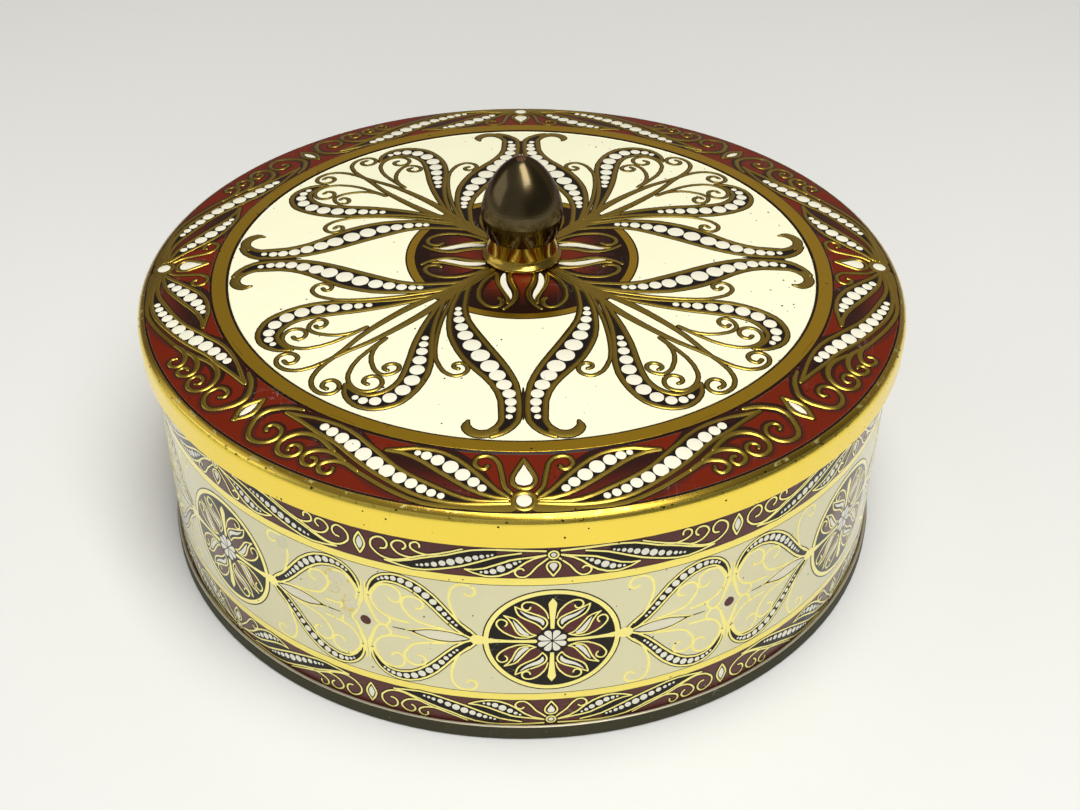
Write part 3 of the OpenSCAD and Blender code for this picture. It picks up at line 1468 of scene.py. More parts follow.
@dataclass
class Lid:
    """The crowned slip lid: zones of print, embossed border and scrolls. Sizes in millimetres.

    Attributes:
        body: The body that it rides on.
        slot: Name of its material slot; not used.
        disc: Inner and outer radius of the gold line round the rosette.
        panel: Radius of the cream panel.
        ring: Inner and outer radius of the raised ring.
        border: Inner radius of the red border.
        shoulder: Inner and outer radius of the dark line outside the border.
        skirt: Radius from which the gold is the skirt's; inside it the shoulder's gold is painted
            darker, as painted shade.
        line: Width of the dark line round the rosette.
        emboss: Height of the border's lines.
        layers: Heights of the ornament's layers.
    """

    body: str = "lid"
    slot: str = "printed_lid"
    disc: tuple[float, float] = (21.6, 23.1)
    panel: float = 58.5
    ring: tuple[float, float] = (59.05, 61.7)
    border: float = 62.2
    shoulder: tuple[float, float] = (74.6, 75.05)
    skirt: float = 75.95
    line: float = 0.35
    emboss: float = 0.22
    layers: Layers = Layers(
        shade=0.010, fill=0.014, ground=0.018, outline=0.026, bead=0.15, line=0.15, sink=0.07,
        rim=0.22, across=5, step=0.3, sides=20,
    )

    def build(self, effects: Effects) -> None:
        """Dresses the solid and lays the ornament on it.

        Args:
            effects: The shared effects.
        """
        node = dress("lid_shell", self.sheet().material(effects))
        art = Ornament("lid", LidFace.of(node), self.layers)
        for draw in (self.rosette, self.leaves, self.tendrils, self.border_leaves,
                     self.border_scrolls):
            draw(art)
        art.pieces(self.inks(), effects, self.body)

    @staticmethod
    def inks() -> dict[Ink, Finish]:
        """Finish of each ink of the ornament."""
        age = Ageing(mottle=0.08, specks=0.02)
        return {
            Ink.GOLD: Finish("lid_gold_lacquer", LINE_GOLD, 1.0, 0.3, gloss=0.0,
                             age=Ageing(mottle=0.14, specks=0.05)),
            Ink.DARK: Finish("lid_dark_ink", ink(42, 31, 15), age=age, specular=0.06),
            Ink.GROUND: Finish("lid_black_ink", BLACK, age=age, specular=0.06),
            Ink.SHADE: FadedFinish("lid_shaded_red_ink", ink(86, 29, 19), age=age, near=SHADED_RED,
                                   low=66.0 * MM, high=71.0 * MM, axis=ZoneAxis.RADIUS),
            Ink.FILL: FadedFinish("lid_red_ink", SHADED_RED, age=age, near=RED, low=10.0 * MM,
                                  high=18.5 * MM, axis=ZoneAxis.RADIUS),
            Ink.PALE: Finish("lid_white_ink", ink(241, 237, 214), age=age),
        }

    def sheet(self) -> ZonedSheet:
        """The lid's printed sheet."""
        start, end = self.shoulder
        return ZonedSheet(
            name="printed_lid_sheet", colour=CREAM, up=1.0, inside=ink(198, 186, 150),
            specular=0.06,
            zones=(
                Zone(-1, self.disc[1] + self.line, BROWN_BLACK),
                Zone(*self.disc, OLD_GOLD, 1.0),
                Zone(self.panel, self.border, BROWN_BLACK),
                Zone(*self.ring, OLD_GOLD, 1.0),
                Zone(self.border, start, RED),
                Zone(start, end, BROWN_BLACK),
                # Painted shade: the rounded shoulder gets a darker gold than the skirt below it.
                Zone(end, self.skirt, SHADED_SHOULDER_GOLD, 1.0, 0.24),
                Zone(self.skirt, 90, GOLD, 1.0, 0.24),
            ),
            rubs=(
                Rub(end, 75.8, 420.0, 0.4, ink(230, 216, 140)),
                Rub(75.85, 76.3, 1000.0, 0.38, BROWN_BLACK),
            ),
            age=Ageing(mottle=0.04, specks=0.035, speck_scale=1300.0),
        )

    @staticmethod
    def rosette(art: Ornament) -> None:
        """Draws the dark disc round the knob: red petals, white leaves, hooks and the ring.

        Args:
            art: The pattern.
        """
        petal = [(6.6, 1.9), (8, 1.85), (9.5, 1.65), (11, 1.2), (12.5, 0.72), (14, 0.42),
                 (15.5, 0.38), (17, 0.55), (18.6, 0.75)]
        art.between([(half, y) for y, half in petal], [(-half, y) for y, half in petal],
                    Repeat.UPRIGHT, Ink.FILL)
        art.between([(5.5, 9.6), (5.2, 11.2), (4.75, 12.9), (4.2, 14.4), (4.1, 16), (4.5, 17.4),
                     (5.6, 18.3)],
                    [(5.8, 9.6), (6.7, 11.2), (7.3, 12.9), (7.6, 14.4), (7.5, 16), (6.9, 17.4),
                     (5.9, 18.3)], kind=Ink.FILL)
        white = [(2.27, 16.7, 0.03), (2.3, 15.6, 0.3), (2.68, 14.2, 0.5), (3.2, 12.7, 0.55),
                 (3.6, 11.2, 0.6), (3.75, 9.8, 0.55), (3.63, 8.3, 0.42), (3.5, 7.3, 0.12)]
        art.between(*both_sides(white), kind=Ink.PALE)
        art.line([(2.45, 7.4), (2.45, 8.75), (2.3, 9.95), (2, 11.2), (1.55, 12.4), (1.24, 13.6),
                  (1.17, 14.8), (1.32, 16), (1.7, 17.2), (2.23, 18.3), (2.9, 19.2), (3.6, 19.95)],
                 (0.85, 0.85, 0.75, 0.6))
        art.line([(4.9, 7.5), (5, 8.75), (4.88, 10.25), (4.58, 11.6), (4.05, 13), (3.5, 14.2),
                  (3.06, 15.4), (2.76, 16.6), (2.83, 17.8)], 0.7)
        art.line([(5.3, 7), (6.55, 8.4), (7.45, 9.95), (8.06, 11.6), (8.44, 13.3), (8.5, 14.8),
                  (8.3, 16.3), (7.6, 17.8), (6.55, 18.9), (5.5, 19.25), (4.45, 18.9), (3.95, 18),
                  (3.95, 16.9), (4.5, 16.15)], 0.75)

    @staticmethod
    def leaves(art: Ornament) -> None:
        """Draws the long beaded leaves, their hooks and the hooked lobes.

        Args:
            art: The pattern.
        """
        inner = [(6.75, 7.05), (7.95, 8.35), (9.15, 9.9), (10.1, 11.55), (10.6, 13.65),
                 (10.8, 15.95), (11, 18.7), (10.85, 20.95), (10.35, 23.45), (9.35, 25.95),
                 (7.9, 28.95), (6.15, 32.45), (4.15, 36.25), (2.45, 40), (1.3, 43.5),
                 (0.85, 47.25), (0.75, 51), (1, 53.25), (2, 55), (3.75, 56.5), (5.45, 57.2)]
        outer = [(9.05, 9.15), (10.35, 10.65), (11.3, 12.15), (12.05, 13.65), (12.65, 15.95),
                 (13.35, 18.95), (13.7, 22.2), (13.7, 25.2), (13.4, 28.45), (12.4, 31.95),
                 (10.9, 35.45), (8.95, 38.45), (6.7, 41.45), (4.95, 44.5), (3.95, 47.75),
                 (3.8, 51), (3.85, 53.5), (4.65, 55), (5.75, 55.95)]
        art.leaf((inner, outer), 0.86, [
            (2.45, 52.3, 0.63), (2.15, 50.4, 0.9), (2.2, 48.4, 1.06), (2.5, 46.1, 1.22),
            (3.4, 43.6, 1.43), (4.6, 40.9, 1.55), (6, 38.15, 1.75), (7.75, 34.95, 1.8),
            (9.35, 31.75, 1.75), (10.65, 28.65, 1.5), (11.4, 25.95, 1.25), (11.95, 23.5, 1.08),
            (12.2, 21.4, 0.8), (12.2, 19.85, 0.65),
        ], edge=0.25)
        art.line([(4.85, 55.9), (6.25, 56.6), (7.75, 56.7), (9.15, 55.95), (9.85, 54.75),
                  (9.55, 53.25)], (1.3, 1.7, 1.75, 1.7, 1.5, 0.3), edge=0.25)
        art.line([(0, 44.5), (0, 49), (0, 53)], (0.3, 1.1, 0.3), Repeat.UPRIGHT, kind=Ink.DARK)
        left = [(14.7, 16.45), (15.6, 19.95), (16.2, 22.95), (16.6, 25.9), (16.8, 30.9),
                (16.7, 35.9), (17.1, 39.9), (18.2, 43.15), (19.7, 45.9), (21.7, 48.15),
                (24.25, 49.3), (26.75, 49.5), (29.2, 48.6), (30.7, 47.1), (31.6, 45.1),
                (31.7, 43.05)]
        right = [(15.5, 16.95), (16.5, 19.75), (17.35, 22.15), (18.35, 25.15), (19.25, 28.4),
                 (20.05, 31.9), (20.55, 35.4), (21.1, 38.4), (21.8, 41.4), (22.7, 43.15),
                 (23.95, 44.5), (25.45, 45.4), (27.2, 45.8), (29.2, 45.1), (30.7, 43.85),
                 (31.6, 42.6)]
        art.leaf((left, right), (0.66, 0.87, 0.87, 0.85, 0.66), [
            (18.05, 29.35, 0.68), (18.25, 31.3, 0.9), (18.45, 33.5, 1.1), (18.75, 36.15, 1.3),
            (19.05, 39, 1.43), (19.8, 42, 1.5), (21.3, 44.7, 1.45), (23.5, 46.7, 1.33),
            (26, 47.5, 1.13), (28.15, 47.25, 0.9), (29.6, 46.3, 0.63),
        ], edge=0.25)

    @staticmethod
    def tendrils(art: Ornament) -> None:
        """Draws the low diagonal blades, the trunks and the curling tendrils.

        Args:
            art: The pattern.
        """
        blade = [(8, 0.5), (13, 1.2), (17, 1.6), (20, 1.5), (23.2, 0.2)]
        art.shape(pointed_outline(blade), Ink.GOLD, Repeat.DIAGONAL, rise=0.08)
        art.line([(14.7, 13.6), (20.26, 17.93), (26, 23.5), (30.57, 28.83), (32.53, 31.82),
                  (34, 33.87), (35.96, 36.31), (37.45, 38.85), (37.95, 41.35), (37.2, 43.6),
                  (35.45, 44.95), (33.95, 44.95), (32.8, 43.85), (32.95, 42.1), (34.2, 41.15),
                  (35.45, 41.6), (35.8, 42.85), (34.95, 43.6)],
                 (1.5, 1.3, 1.0, 0.7, 0.65, 0.6, 0.6))
        curls = (
            [(12.95, 14.55), (13.85, 17.7), (14.35, 19.7), (15.1, 22.95), (15.6, 25.95),
             (16, 29.95), (16.1, 32.95), (15.85, 35.95), (15.15, 37.95), (14.2, 39.7),
             (12.2, 40.9), (10.5, 40.25), (9.95, 39.2), (10.25, 37.85), (11.4, 37.1),
             (12.4, 37.55), (12.45, 38.35), (11.7, 38.85)],
            [(25.35, 29.2), (26.9, 31.4), (27.55, 33.4), (27.65, 35.35), (27.25, 37.4),
             (26.45, 39.15), (25.2, 40.15), (23.7, 39.95), (22.45, 38.9), (22.4, 37.65),
             (23.4, 36.95), (24.65, 37.3), (25.1, 38.3), (24.45, 38.9)],
            [(25.55, 29.3), (27.4, 31.65), (28.65, 33.35), (30.15, 35.6), (31.05, 37.85),
             (31.45, 40.1), (31.1, 42.1), (29.95, 43.85), (28.45, 44.7), (26.7, 44.6),
             (25.45, 43.65), (25.1, 42.4), (25.7, 40.9), (26.95, 40.4), (28.2, 40.95),
             (28.45, 42.1), (27.7, 42.75)],
        )
        for curl in curls:
            art.line(curl, 0.62, edge=0.19)

    def border_leaves(self, art: Ornament) -> None:
        """Draws the pairs of beaded leaves in the red border and the strand outside them.

        Args:
            art: The pattern.
        """
        strand = [(2.25, 73.5), (5.85, 73.7), (9.35, 73.5), (12.35, 73.3), (15.85, 72.7),
                  (18.35, 71.7), (20.8, 70.3), (23.3, 68.6), (25.8, 66.6), (28.3, 64.55),
                  (29.8, 63.15)]
        art.line(strand, (2.4, 1.8, 1.0, 0.8, 0.75, 0.75, 0.75, 0.75, 0.7), rise=0.05)
        upper = [(2.35, 72.85), (5.85, 72.95), (8.85, 72.95), (10.85, 72.75), (13.85, 72.15),
                 (17.3, 70.9), (19.8, 69.4), (22.3, 67.5), (24.8, 65.5), (27.05, 63.4),
                 (29.05, 61.35), (30.75, 59.35), (32.75, 57.35), (35, 55.6), (37.25, 53.35),
                 (39.25, 51.55), (41.25, 49.8)]
        lower = [(2.65, 72.3), (5.85, 72.4), (8.85, 71.95), (11.3, 70.95), (13.8, 69.45),
                 (16.3, 67.95), (18.8, 66.3), (21.3, 64.3), (23.3, 62.15), (24.8, 60.4),
                 (26.25, 58.9), (28.25, 56.6), (30.25, 54.85), (32.25, 53.55), (34.5, 52.4),
                 (37.25, 51.25), (39.25, 50.6), (41.25, 49.8)]
        art.leaf((upper, lower), 0.78, [
            (13.6, 71.05, 0.65), (15.2, 70.35, 0.83), (16.85, 69.4, 0.95), (18.6, 68.15, 1.1),
            (20.6, 66.8, 1.25), (22.8, 65.15, 1.4), (24.9, 63.3, 1.5), (27, 61.1, 1.5),
            (29.05, 58.95, 1.45), (30.95, 57.05, 1.25), (32.75, 55.4, 1.08), (34.2, 54.1, 0.85),
        ], rise=self.emboss)
        short = [(2.45, 72), (4.85, 71.55), (7.3, 70.65), (9.55, 69.3), (11.8, 67.55),
                 (14.3, 65.55), (16.8, 63.4), (19.05, 61.85), (20.8, 61), (23.05, 60.4)]
        under = [(2.65, 71.6), (3.8, 70.7), (5.05, 69.4), (6.8, 67.35), (8.55, 65.55),
                 (10.3, 63.65), (12.3, 62.15), (14.3, 61.1), (16.3, 60.55), (18.25, 60.2),
                 (20.8, 60.35), (23.05, 60.4)]
        art.leaf((short, under), 0.8, [
            (6.9, 69.55, 0.78), (8.3, 68.2, 1.05), (10.15, 66.55, 1.33), (12.2, 64.75, 1.4),
            (14.4, 63.15, 1.2), (16.3, 62.05, 0.95), (17.8, 61.35, 0.6),
        ], rise=self.emboss)
        art.between(short, lower[:10], kind=Ink.SHADE)
        for edge in (strand[4:], lower[9:], under[2:9]):
            art.line(edge, (1.0, 3.0, 3.0, 1.0), kind=Ink.SHADE)

    def border_scrolls(self, art: Ornament) -> None:
        """Draws pearls, drops, curls, running scrolls and pointed ovals in the red border.

        Args:
            art: The pattern.
        """
        art.beads([(0, 72.33, 1.33)], Repeat.UPRIGHT)
        art.ring((0, 72.33), 1.38, 2.2, Repeat.UPRIGHT, 40)
        drop = [(64.5, 0.03), (65.5, 0.5), (66.5, 1.05), (67.4, 1.42), (68.2, 1.4), (68.8, 0.95),
                (69.05, 0.05)]
        art.shape(pointed_outline(drop), Ink.PALE, Repeat.UPRIGHT)
        art.line([(0, 63.3), (0.7, 64.6), (1.45, 66.1), (1.95, 67.5), (1.75, 68.8), (0.95, 69.55),
                  (0, 69.75)], 0.7, rise=self.emboss)
        curl = [(2.05, 70.75), (3.05, 69.5), (3.55, 67.5), (3.8, 65.5), (4.3, 63.8), (5.3, 62.7),
                (6.7, 62.35), (7.85, 62.95), (8.15, 64.15), (7.55, 65.05), (6.4, 65.3),
                (6.05, 64.7)]
        art.line(curl, 0.75, rise=self.emboss)
        scrolls = (
            [(27.8, 64.85), (29.05, 63.6), (30.55, 62.6), (32.05, 62.25), (33.55, 62.45),
             (34.4, 63.45), (34.05, 64.6), (32.9, 65.1), (32.05, 64.6), (31.95, 63.9)],
            [(30.1, 62.45), (31.55, 60.85), (33, 59.95), (34.75, 59.55), (36.5, 59.85),
             (37.4, 61.1), (37.05, 62.45), (35.8, 63.05), (34.9, 62.2), (35.05, 61.4),
             (35.75, 61.15)],
            [(32.05, 60.05), (33.25, 58.35), (34.5, 56.85), (36.5, 55.6), (38.75, 55.25),
             (40.75, 56.05), (41.85, 57.55), (41.75, 59.3), (40.55, 60.4), (39.05, 60.55),
             (37.85, 59.6), (38, 58.35), (39.2, 57.85), (40.05, 58.4), (39.95, 59.1)],
        )
        last = [(7.9, 62.15), (6.3, 62.85), (5.06, 63.7), (3.8, 64.97), (2.95, 66.2), (2.7, 67.6),
                (2.95, 69), (3.66, 70.4), (4.6, 71.7), (5.84, 72.55), (7.1, 72.55), (8.3, 72),
                (9.3, 70.9), (9.67, 69.66), (9.3, 68.25), (8.3, 67.5), (7.25, 67.5), (6.35, 68.1),
                (6.25, 69), (6.9, 69.5)]
        for scroll, repeat in (*((s, Repeat.MIRRORED) for s in scrolls), (last, Repeat.CORNERS)):
            art.line(scroll, (0.8, 1.0, 0.94, 0.8, 0.65), repeat, rise=self.emboss)
            art.line(scroll, (2.0, 2.8, 2.4, 1.6), repeat, kind=Ink.SHADE)
        oval = [(66.2, 0.03), (67, 0.42), (68.2, 0.68), (69.4, 0.5), (70.2, 0.03)]
        art.shape(pointed_outline(oval), Ink.PALE, Repeat.DIAGONAL)
        art.line([(0, 71.5), (0.8, 70.2), (1.4, 68.3), (0.8, 66.3), (0, 64.9)], 0.85,
                 Repeat.CORNERS, rise=self.emboss)


@dataclass
class TinBody:
    """The printed wall and the foot. Sizes in millimetres.

    Attributes:
        body: The body that they ride on.
        slot: Name of the wall's material slot; not used.
        middle: Height of the pattern's middle line.
        panel: Half the height of the cream panel.
        stripe: Half the height between the outer edges of the gold stripes.
        line: Width of the dark line along a stripe.
        print_top: Height of the print's upper edge.
        gloss: Weight of the clear lacquer.
        glance: How much heavier it looks at a low angle.
        ragged: How far the edge of a flaked place wanders, as a share.
        layers: Heights of the ornament's layers.
    """

    body: str = "tin"
    slot: str = "printed_wall"
    middle: float = 24.4
    panel: float = 13.1
    stripe: float = 14.8
    line: float = 0.14
    print_top: float = 47.8
    gloss: float = 0.35
    glance: float = 0.5
    ragged: float = 2.4
    layers: Layers = Layers(
        shade=0.008, fill=0.018, ground=0.013, outline=0.024, bead=0.05, line=0.05, sink=0.06,
        rim=0.19, across=3, step=0.2, sides=12,
    )

    def build(self, effects: Effects) -> None:
        """Dresses the solids and rolls the ornament round the wall.

        Args:
            effects: The shared effects.
        """
        radius = self.wall_radius(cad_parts["body_wall"])
        face = WallFace(radius, self.middle)
        patches = self.flaked(face)
        dress("body_wall", self.sheet(patches).material(effects))
        dress("base_plate", self.foot().material(effects))
        art = Ornament("wall", face, self.layers)
        for draw in (self.medallion, self.quatrefoil, self.bands):
            draw(art)
        art.pieces(self.inks(patches), effects, self.body)

    def inks(self, patches: tuple[Patch, ...]) -> dict[Ink, Finish]:
        """Finish of each ink of the ornament.

        Args:
            patches: Flaked places.

        Returns:
            The finishes.
        """
        worn = Ageing(mottle=0.12, specks=0.04, bare=GREY_CREAM, patches=patches)
        age = Ageing(mottle=0.08, specks=0.02, bare=GREY_CREAM, patches=patches)
        printed = (
            (Ink.DARK, "wall_dark_ink", WALL_BLACK, 0.03),
            (Ink.GROUND, "wall_black_ink", WALL_BLACK, 0.03),
            (Ink.SHADE, "wall_grey_ink", ink(220, 214, 188), 0.15),
            (Ink.FILL, "wall_maroon_ink", MAROON, 0.08),
            (Ink.PALE, "wall_pale_ink", ink(226, 223, 206), 0.15),
        )
        gold = Finish("wall_gold_lacquer", PALE_GOLD, 0.8, 0.28, 0.2, worn, 0.7)
        return {Ink.GOLD: gold} | {
            kind: Finish(name, colour, gloss=self.gloss, age=age, glance=self.glance,
                         specular=specular)
            for kind, name, colour, specular in printed
        }

    def wall_radius(self, wall: bpy.types.Object) -> float:
        """Outer radius of the straight wall at the pattern's middle, in millimetres.

        Args:
            wall: The wall's solid.

        Returns:
            The radius.
        """
        level, corners = self.middle * MM, wall.data.vertices
        radius = 0.0
        for polygon in wall.data.polygons:
            places = [corners[i].co for i in polygon.vertices]
            if min(p.z for p in places) < level < max(p.z for p in places):
                radius = max(radius, *(math.hypot(p.x, p.y) for p in places))
        return radius / MM

    def flaked(self, face: WallFace) -> tuple[Patch, ...]:
        """Places where the print has flaked, to the left of the front.

        Args:
            face: The wall.

        Returns:
            The patches.
        """
        spots = ((-38.6, 7.9, 2.0, STAIN), (-36.6, 3.2, 1.8, STAIN), (-39.2, 5.4, 1.2, STAIN),
                 (-37.6, 0.2, 1.0, STAIN), (-50.5, 11.3, 1.5, None))
        found = []
        for along, up, size, rim in spots:
            x, y, z = face.place(np.array([[face.start + along, up, 0.0]]))[0]
            found.append(Patch((float(x), float(y), float(z)), size * MM, self.ragged, rim))
        return tuple(found)

    def sheet(self, patches: tuple[Patch, ...]) -> ZonedSheet:
        """The wall's printed sheet.

        Args:
            patches: Flaked places.

        Returns:
            The finish.
        """
        zones = [Zone(0, self.print_top, MAROON)]
        for half, inner in ((self.stripe, (STRIPE_GOLD, 1.0, 0.28)), (self.panel, (GREY_CREAM,))):
            low, high = self.middle - half, self.middle + half
            zones.append(Zone(low - self.line, high + self.line, BLACK))
            zones.append(Zone(low, high, *inner))
        return ZonedSheet(
            name="printed_wall_sheet", colour=GOLD, metallic=1.0, gloss=self.gloss,
            glance=self.glance, zones=tuple(zones), axis=ZoneAxis.HEIGHT, inside=INNER_TIN,
            age=Ageing(mottle=0.05, speck_scale=1300.0, bare=ink(212, 206, 174),
                       patches=patches),
        )

    @staticmethod
    def foot() -> ZonedSheet:
        """The dark lacquered bottom and foot ring, bare inside the tin."""
        return ZonedSheet(
            name="dark_foot_lacquer", colour=ink(62, 60, 45), roughness=0.45, gloss=0.0, up=-1.0,
            inside=INNER_TIN, specular=0.04,
            age=Ageing(mottle=0.2, specks=0.08, speck_scale=1600.0, spot=ink(112, 104, 78)),
        )

    @staticmethod
    def medallion(art: Ornament) -> None:
        """Draws the round medallion with its flower, spears, leaves and curls.

        Args:
            art: The pattern.
        """
        art.shape(round_outline((0, 0), 12.2, 72), Ink.GROUND, Repeat.ONCE, art.layers.ground, 8)
        art.ring((0, 0), 11.1, 11.95, Repeat.ONCE, 72, edge=0.25)
        petal = pointed_outline([(0.3, 0.03), (0.8, 0.22), (1.4, 0.46), (1.9, 0.62), (2.3, 0.6),
                                 (2.55, 0.35), (2.62, 0.03)])
        for k in range(8):
            angle = math.radians(22.5 + 45 * k)
            c, s = math.cos(angle), math.sin(angle)
            art.shape(petal @ np.array([[c, s], [-s, c]]), Ink.PALE, Repeat.ONCE)
        spear = [(2.9, 0.33), (5, 0.4), (7, 0.55), (8.8, 0.75), (9.2, 0.62), (10.1, 0.03)]
        art.shape(pointed_outline(spear), Ink.GOLD, Repeat.UPRIGHT)
        art.line([(3, 0), (13.2, 0)],
                 (0.8, 0.72, 0.66, 0.6, 0.6, 0.62, 0.7, 0.9, 1.4, 2.0, 2.3), Repeat.LEVEL,
                 edge=0.0)
        petals = (
            ([(1.7, 2.85), (1.15, 3.5), (0.9, 4.4), (1.05, 5), (1.5, 5.6), (2.25, 6.1),
              (3.05, 6.5), (3.95, 6.9), (4.85, 7.35), (5.65, 7.8), (6.4, 8.25)],
             [(1.7, 2.85), (2.05, 3.4), (2.75, 4.15), (3.55, 4.7), (4.55, 5.25), (5.35, 5.8),
              (5.95, 6.5), (6.25, 7.2), (6.45, 8.25)],
             [(1.65, 3.9, 0.12), (1.75, 4.6, 0.34), (2.35, 5.2, 0.4), (3.2, 5.6, 0.36),
              (4.05, 6.0, 0.28), (4.85, 6.6, 0.18), (5.6, 7.35, 0.05)]),
            ([(2.85, 1.45), (3.65, 1.8), (4.35, 2.5), (4.95, 3.4), (5.55, 4.3), (6.05, 5),
              (6.65, 5.5), (7.35, 5.8), (8.35, 6.15)],
             [(2.85, 1.45), (3.5, 1.2), (4.5, 1.25), (5.5, 1.5), (6.2, 2.3), (6.65, 3.4),
              (7.05, 4.4), (7.5, 5.2), (8.35, 6.15)],
             [(4.1, 1.6, 0.15), (4.85, 1.95, 0.36), (5.45, 2.6, 0.4), (5.95, 3.45, 0.33),
              (6.4, 4.3, 0.2), (6.8, 5.05, 0.05)]),
        )
        for upper, lower, pale in petals:
            art.between(*both_sides(pale), kind=Ink.PALE)
            for points in (upper, lower):
                art.line(points, (0.28, 0.33, 0.33, 0.28), edge=0.0)
        curls = (
            [(0.7, 5.4), (0.9, 6.4), (1.35, 7.4), (2.05, 8.3), (2.95, 9.05), (3.95, 9.4),
             (4.85, 9.2), (5.25, 8.6), (5.15, 7.9), (4.65, 7.5), (4.05, 7.6), (3.8, 8.15)],
            [(3.3, 1.15), (4.25, 0.85), (5.25, 0.8), (6.25, 0.95), (7.25, 1.4), (8.35, 2.1),
             (9.25, 3.1), (9.65, 4), (9.45, 4.8), (8.95, 5.2), (8.35, 5.1), (7.9, 4.7),
             (7.85, 4.1), (8.15, 3.65)],
        )
        for curl in curls:
            art.line(curl, (0.2, 0.32, 0.34, 0.32, 0.3), edge=0.0)
        reds = (
            ([(1.1, 5.4), (2, 6.2), (3.2, 6.8), (4.3, 7.4)],
             [(0.95, 6.2), (1.5, 7.4), (2.3, 8.4), (3.5, 9.1)]),
            ([(1.9, 2.6), (2.8, 3.9), (3.9, 4.7), (5, 5.3), (5.9, 6)],
             [(2.2, 1.9), (3.5, 1.9), (4.5, 2.9), (5.4, 4.3), (6.2, 5.4)]),
            ([(5.8, 1.7), (6.4, 2.8), (6.9, 4), (7.3, 4.9)],
             [(6.2, 1.1), (7.5, 1.7), (8.5, 2.6), (8.6, 3.6)]),
        )
        for edges in reds:
            art.between(*edges, kind=Ink.FILL)

    @staticmethod
    def quatrefoil(art: Ornament) -> None:
        """Draws the beaded leaves, blades and fine tendrils between two medallions.

        Args:
            art: The pattern.
        """
        leaf = [
            (12.85, 0.15, 0.15), (13.65, 0.65, 0.5), (14.75, 1.45, 0.78), (15.75, 2.25, 0.85),
            (16.65, 3.05, 0.85), (17.9, 4.5, 0.92), (19.52, 6.55, 1.0), (21.85, 9.15, 1.1),
            (24.7, 11.13, 1.1), (27.6, 11.76, 0.98), (29.65, 11.25, 0.78), (31.15, 10, 0.62),
            (31.85, 8.9, 0.5), (32.35, 7.6, 0.3), (32.45, 6.6, 0.08),
        ]
        art.leaf(both_sides(leaf), 0.4, [
            (16.65, 3.05, 0.28), (17.25, 3.7, 0.3), (17.9, 4.5, 0.37), (18.67, 5.4, 0.5),
            (19.52, 6.55, 0.6), (20.58, 7.9, 0.7), (21.85, 9.15, 0.75), (23.25, 10.26, 0.75),
            (24.7, 11.13, 0.72), (26.2, 11.63, 0.66), (27.6, 11.76, 0.56), (28.75, 11.6, 0.45),
            (29.65, 11.25, 0.35), (30.35, 10.8, 0.27),
        ])
        blade = [(13.55, 0), (14.45, 0.5), (15.45, 0.92), (17.25, 1.38), (19.25, 1.52),
                 (21.25, 1.42), (23.25, 0.85), (24.65, 0.35), (25.85, 0.03)]
        art.line(blade, (0.38, 0.38, 0.38, 0.36, 0.1), edge=0.0)
        art.line([(14.2, 0), (15.6, 0.55), (17.25, 1.08), (19.25, 1.24), (21.25, 1.12),
                  (23.25, 0.55), (24.65, 0.08)], 0.16, kind=Ink.DARK)
        pale = [(14.45, 0.0, 0.05), (16.5, 0.0, 0.7), (19.25, 0.0, 0.95), (21.5, 0.0, 0.8),
                (24.05, 0.0, 0.05)]
        art.between(*both_sides(pale), Repeat.LEVEL, Ink.SHADE)
        art.line([(24.2, 0), (28.25, 0)], (0.24, 0.2, 0.12), Repeat.LEVEL, kind=Ink.DARK)
        fine = (
            [(14.45, 2), (16.4, 4.2), (17.2, 6.2), (17.75, 8.4), (17.75, 10.1), (17.2, 11.75),
             (16.25, 12.65), (15.05, 12.8), (13.75, 12.4), (13.25, 11.45), (13.6, 10.5),
             (14.35, 10.3), (15, 10.75)],
            [(18.75, 1.75), (21.75, 2.2), (23.25, 2.55), (24.65, 3.3), (25.75, 4.7), (26.3, 6),
             (26.05, 7.4), (25.15, 8.2), (23.85, 8.25), (22.85, 7.85), (22.35, 6.8), (22.85, 5.9),
             (23.65, 5.7)],
            [(28.75, 7), (28.15, 6.35), (27.35, 6.25), (26.65, 6.65), (26.4, 7.4), (26.7, 9),
             (27.65, 9.75), (28.75, 10), (30.15, 9.55), (31.25, 8.3), (31.95, 6.9), (32.05, 5.5),
             (31.45, 4.2), (30.35, 3), (28.95, 2.3), (27.15, 1.95), (25.25, 1.9)],
        )
        for stem in fine:
            art.line(stem, (0.42, 0.5, 0.5, 0.5), edge=0.0)
        art.line([(33.1, 9.6), (33.05, 7), (32.95, 5.2), (32.55, 4.2), (32.05, 2.4), (31.45, 1),
                  (30.65, 0.1), (29.85, -0.05), (29.05, 0.6), (28.65, 1.6), (29.15, 2.5)],
                 (0.16, 0.5, 0.9, 0.6, 0.5, 0.5, 0.5), edge=0.0)
        art.shape(round_outline((0, 0), 1.05, 20), Ink.FILL, Repeat.MIDWAY, art.layers.fill, 2)

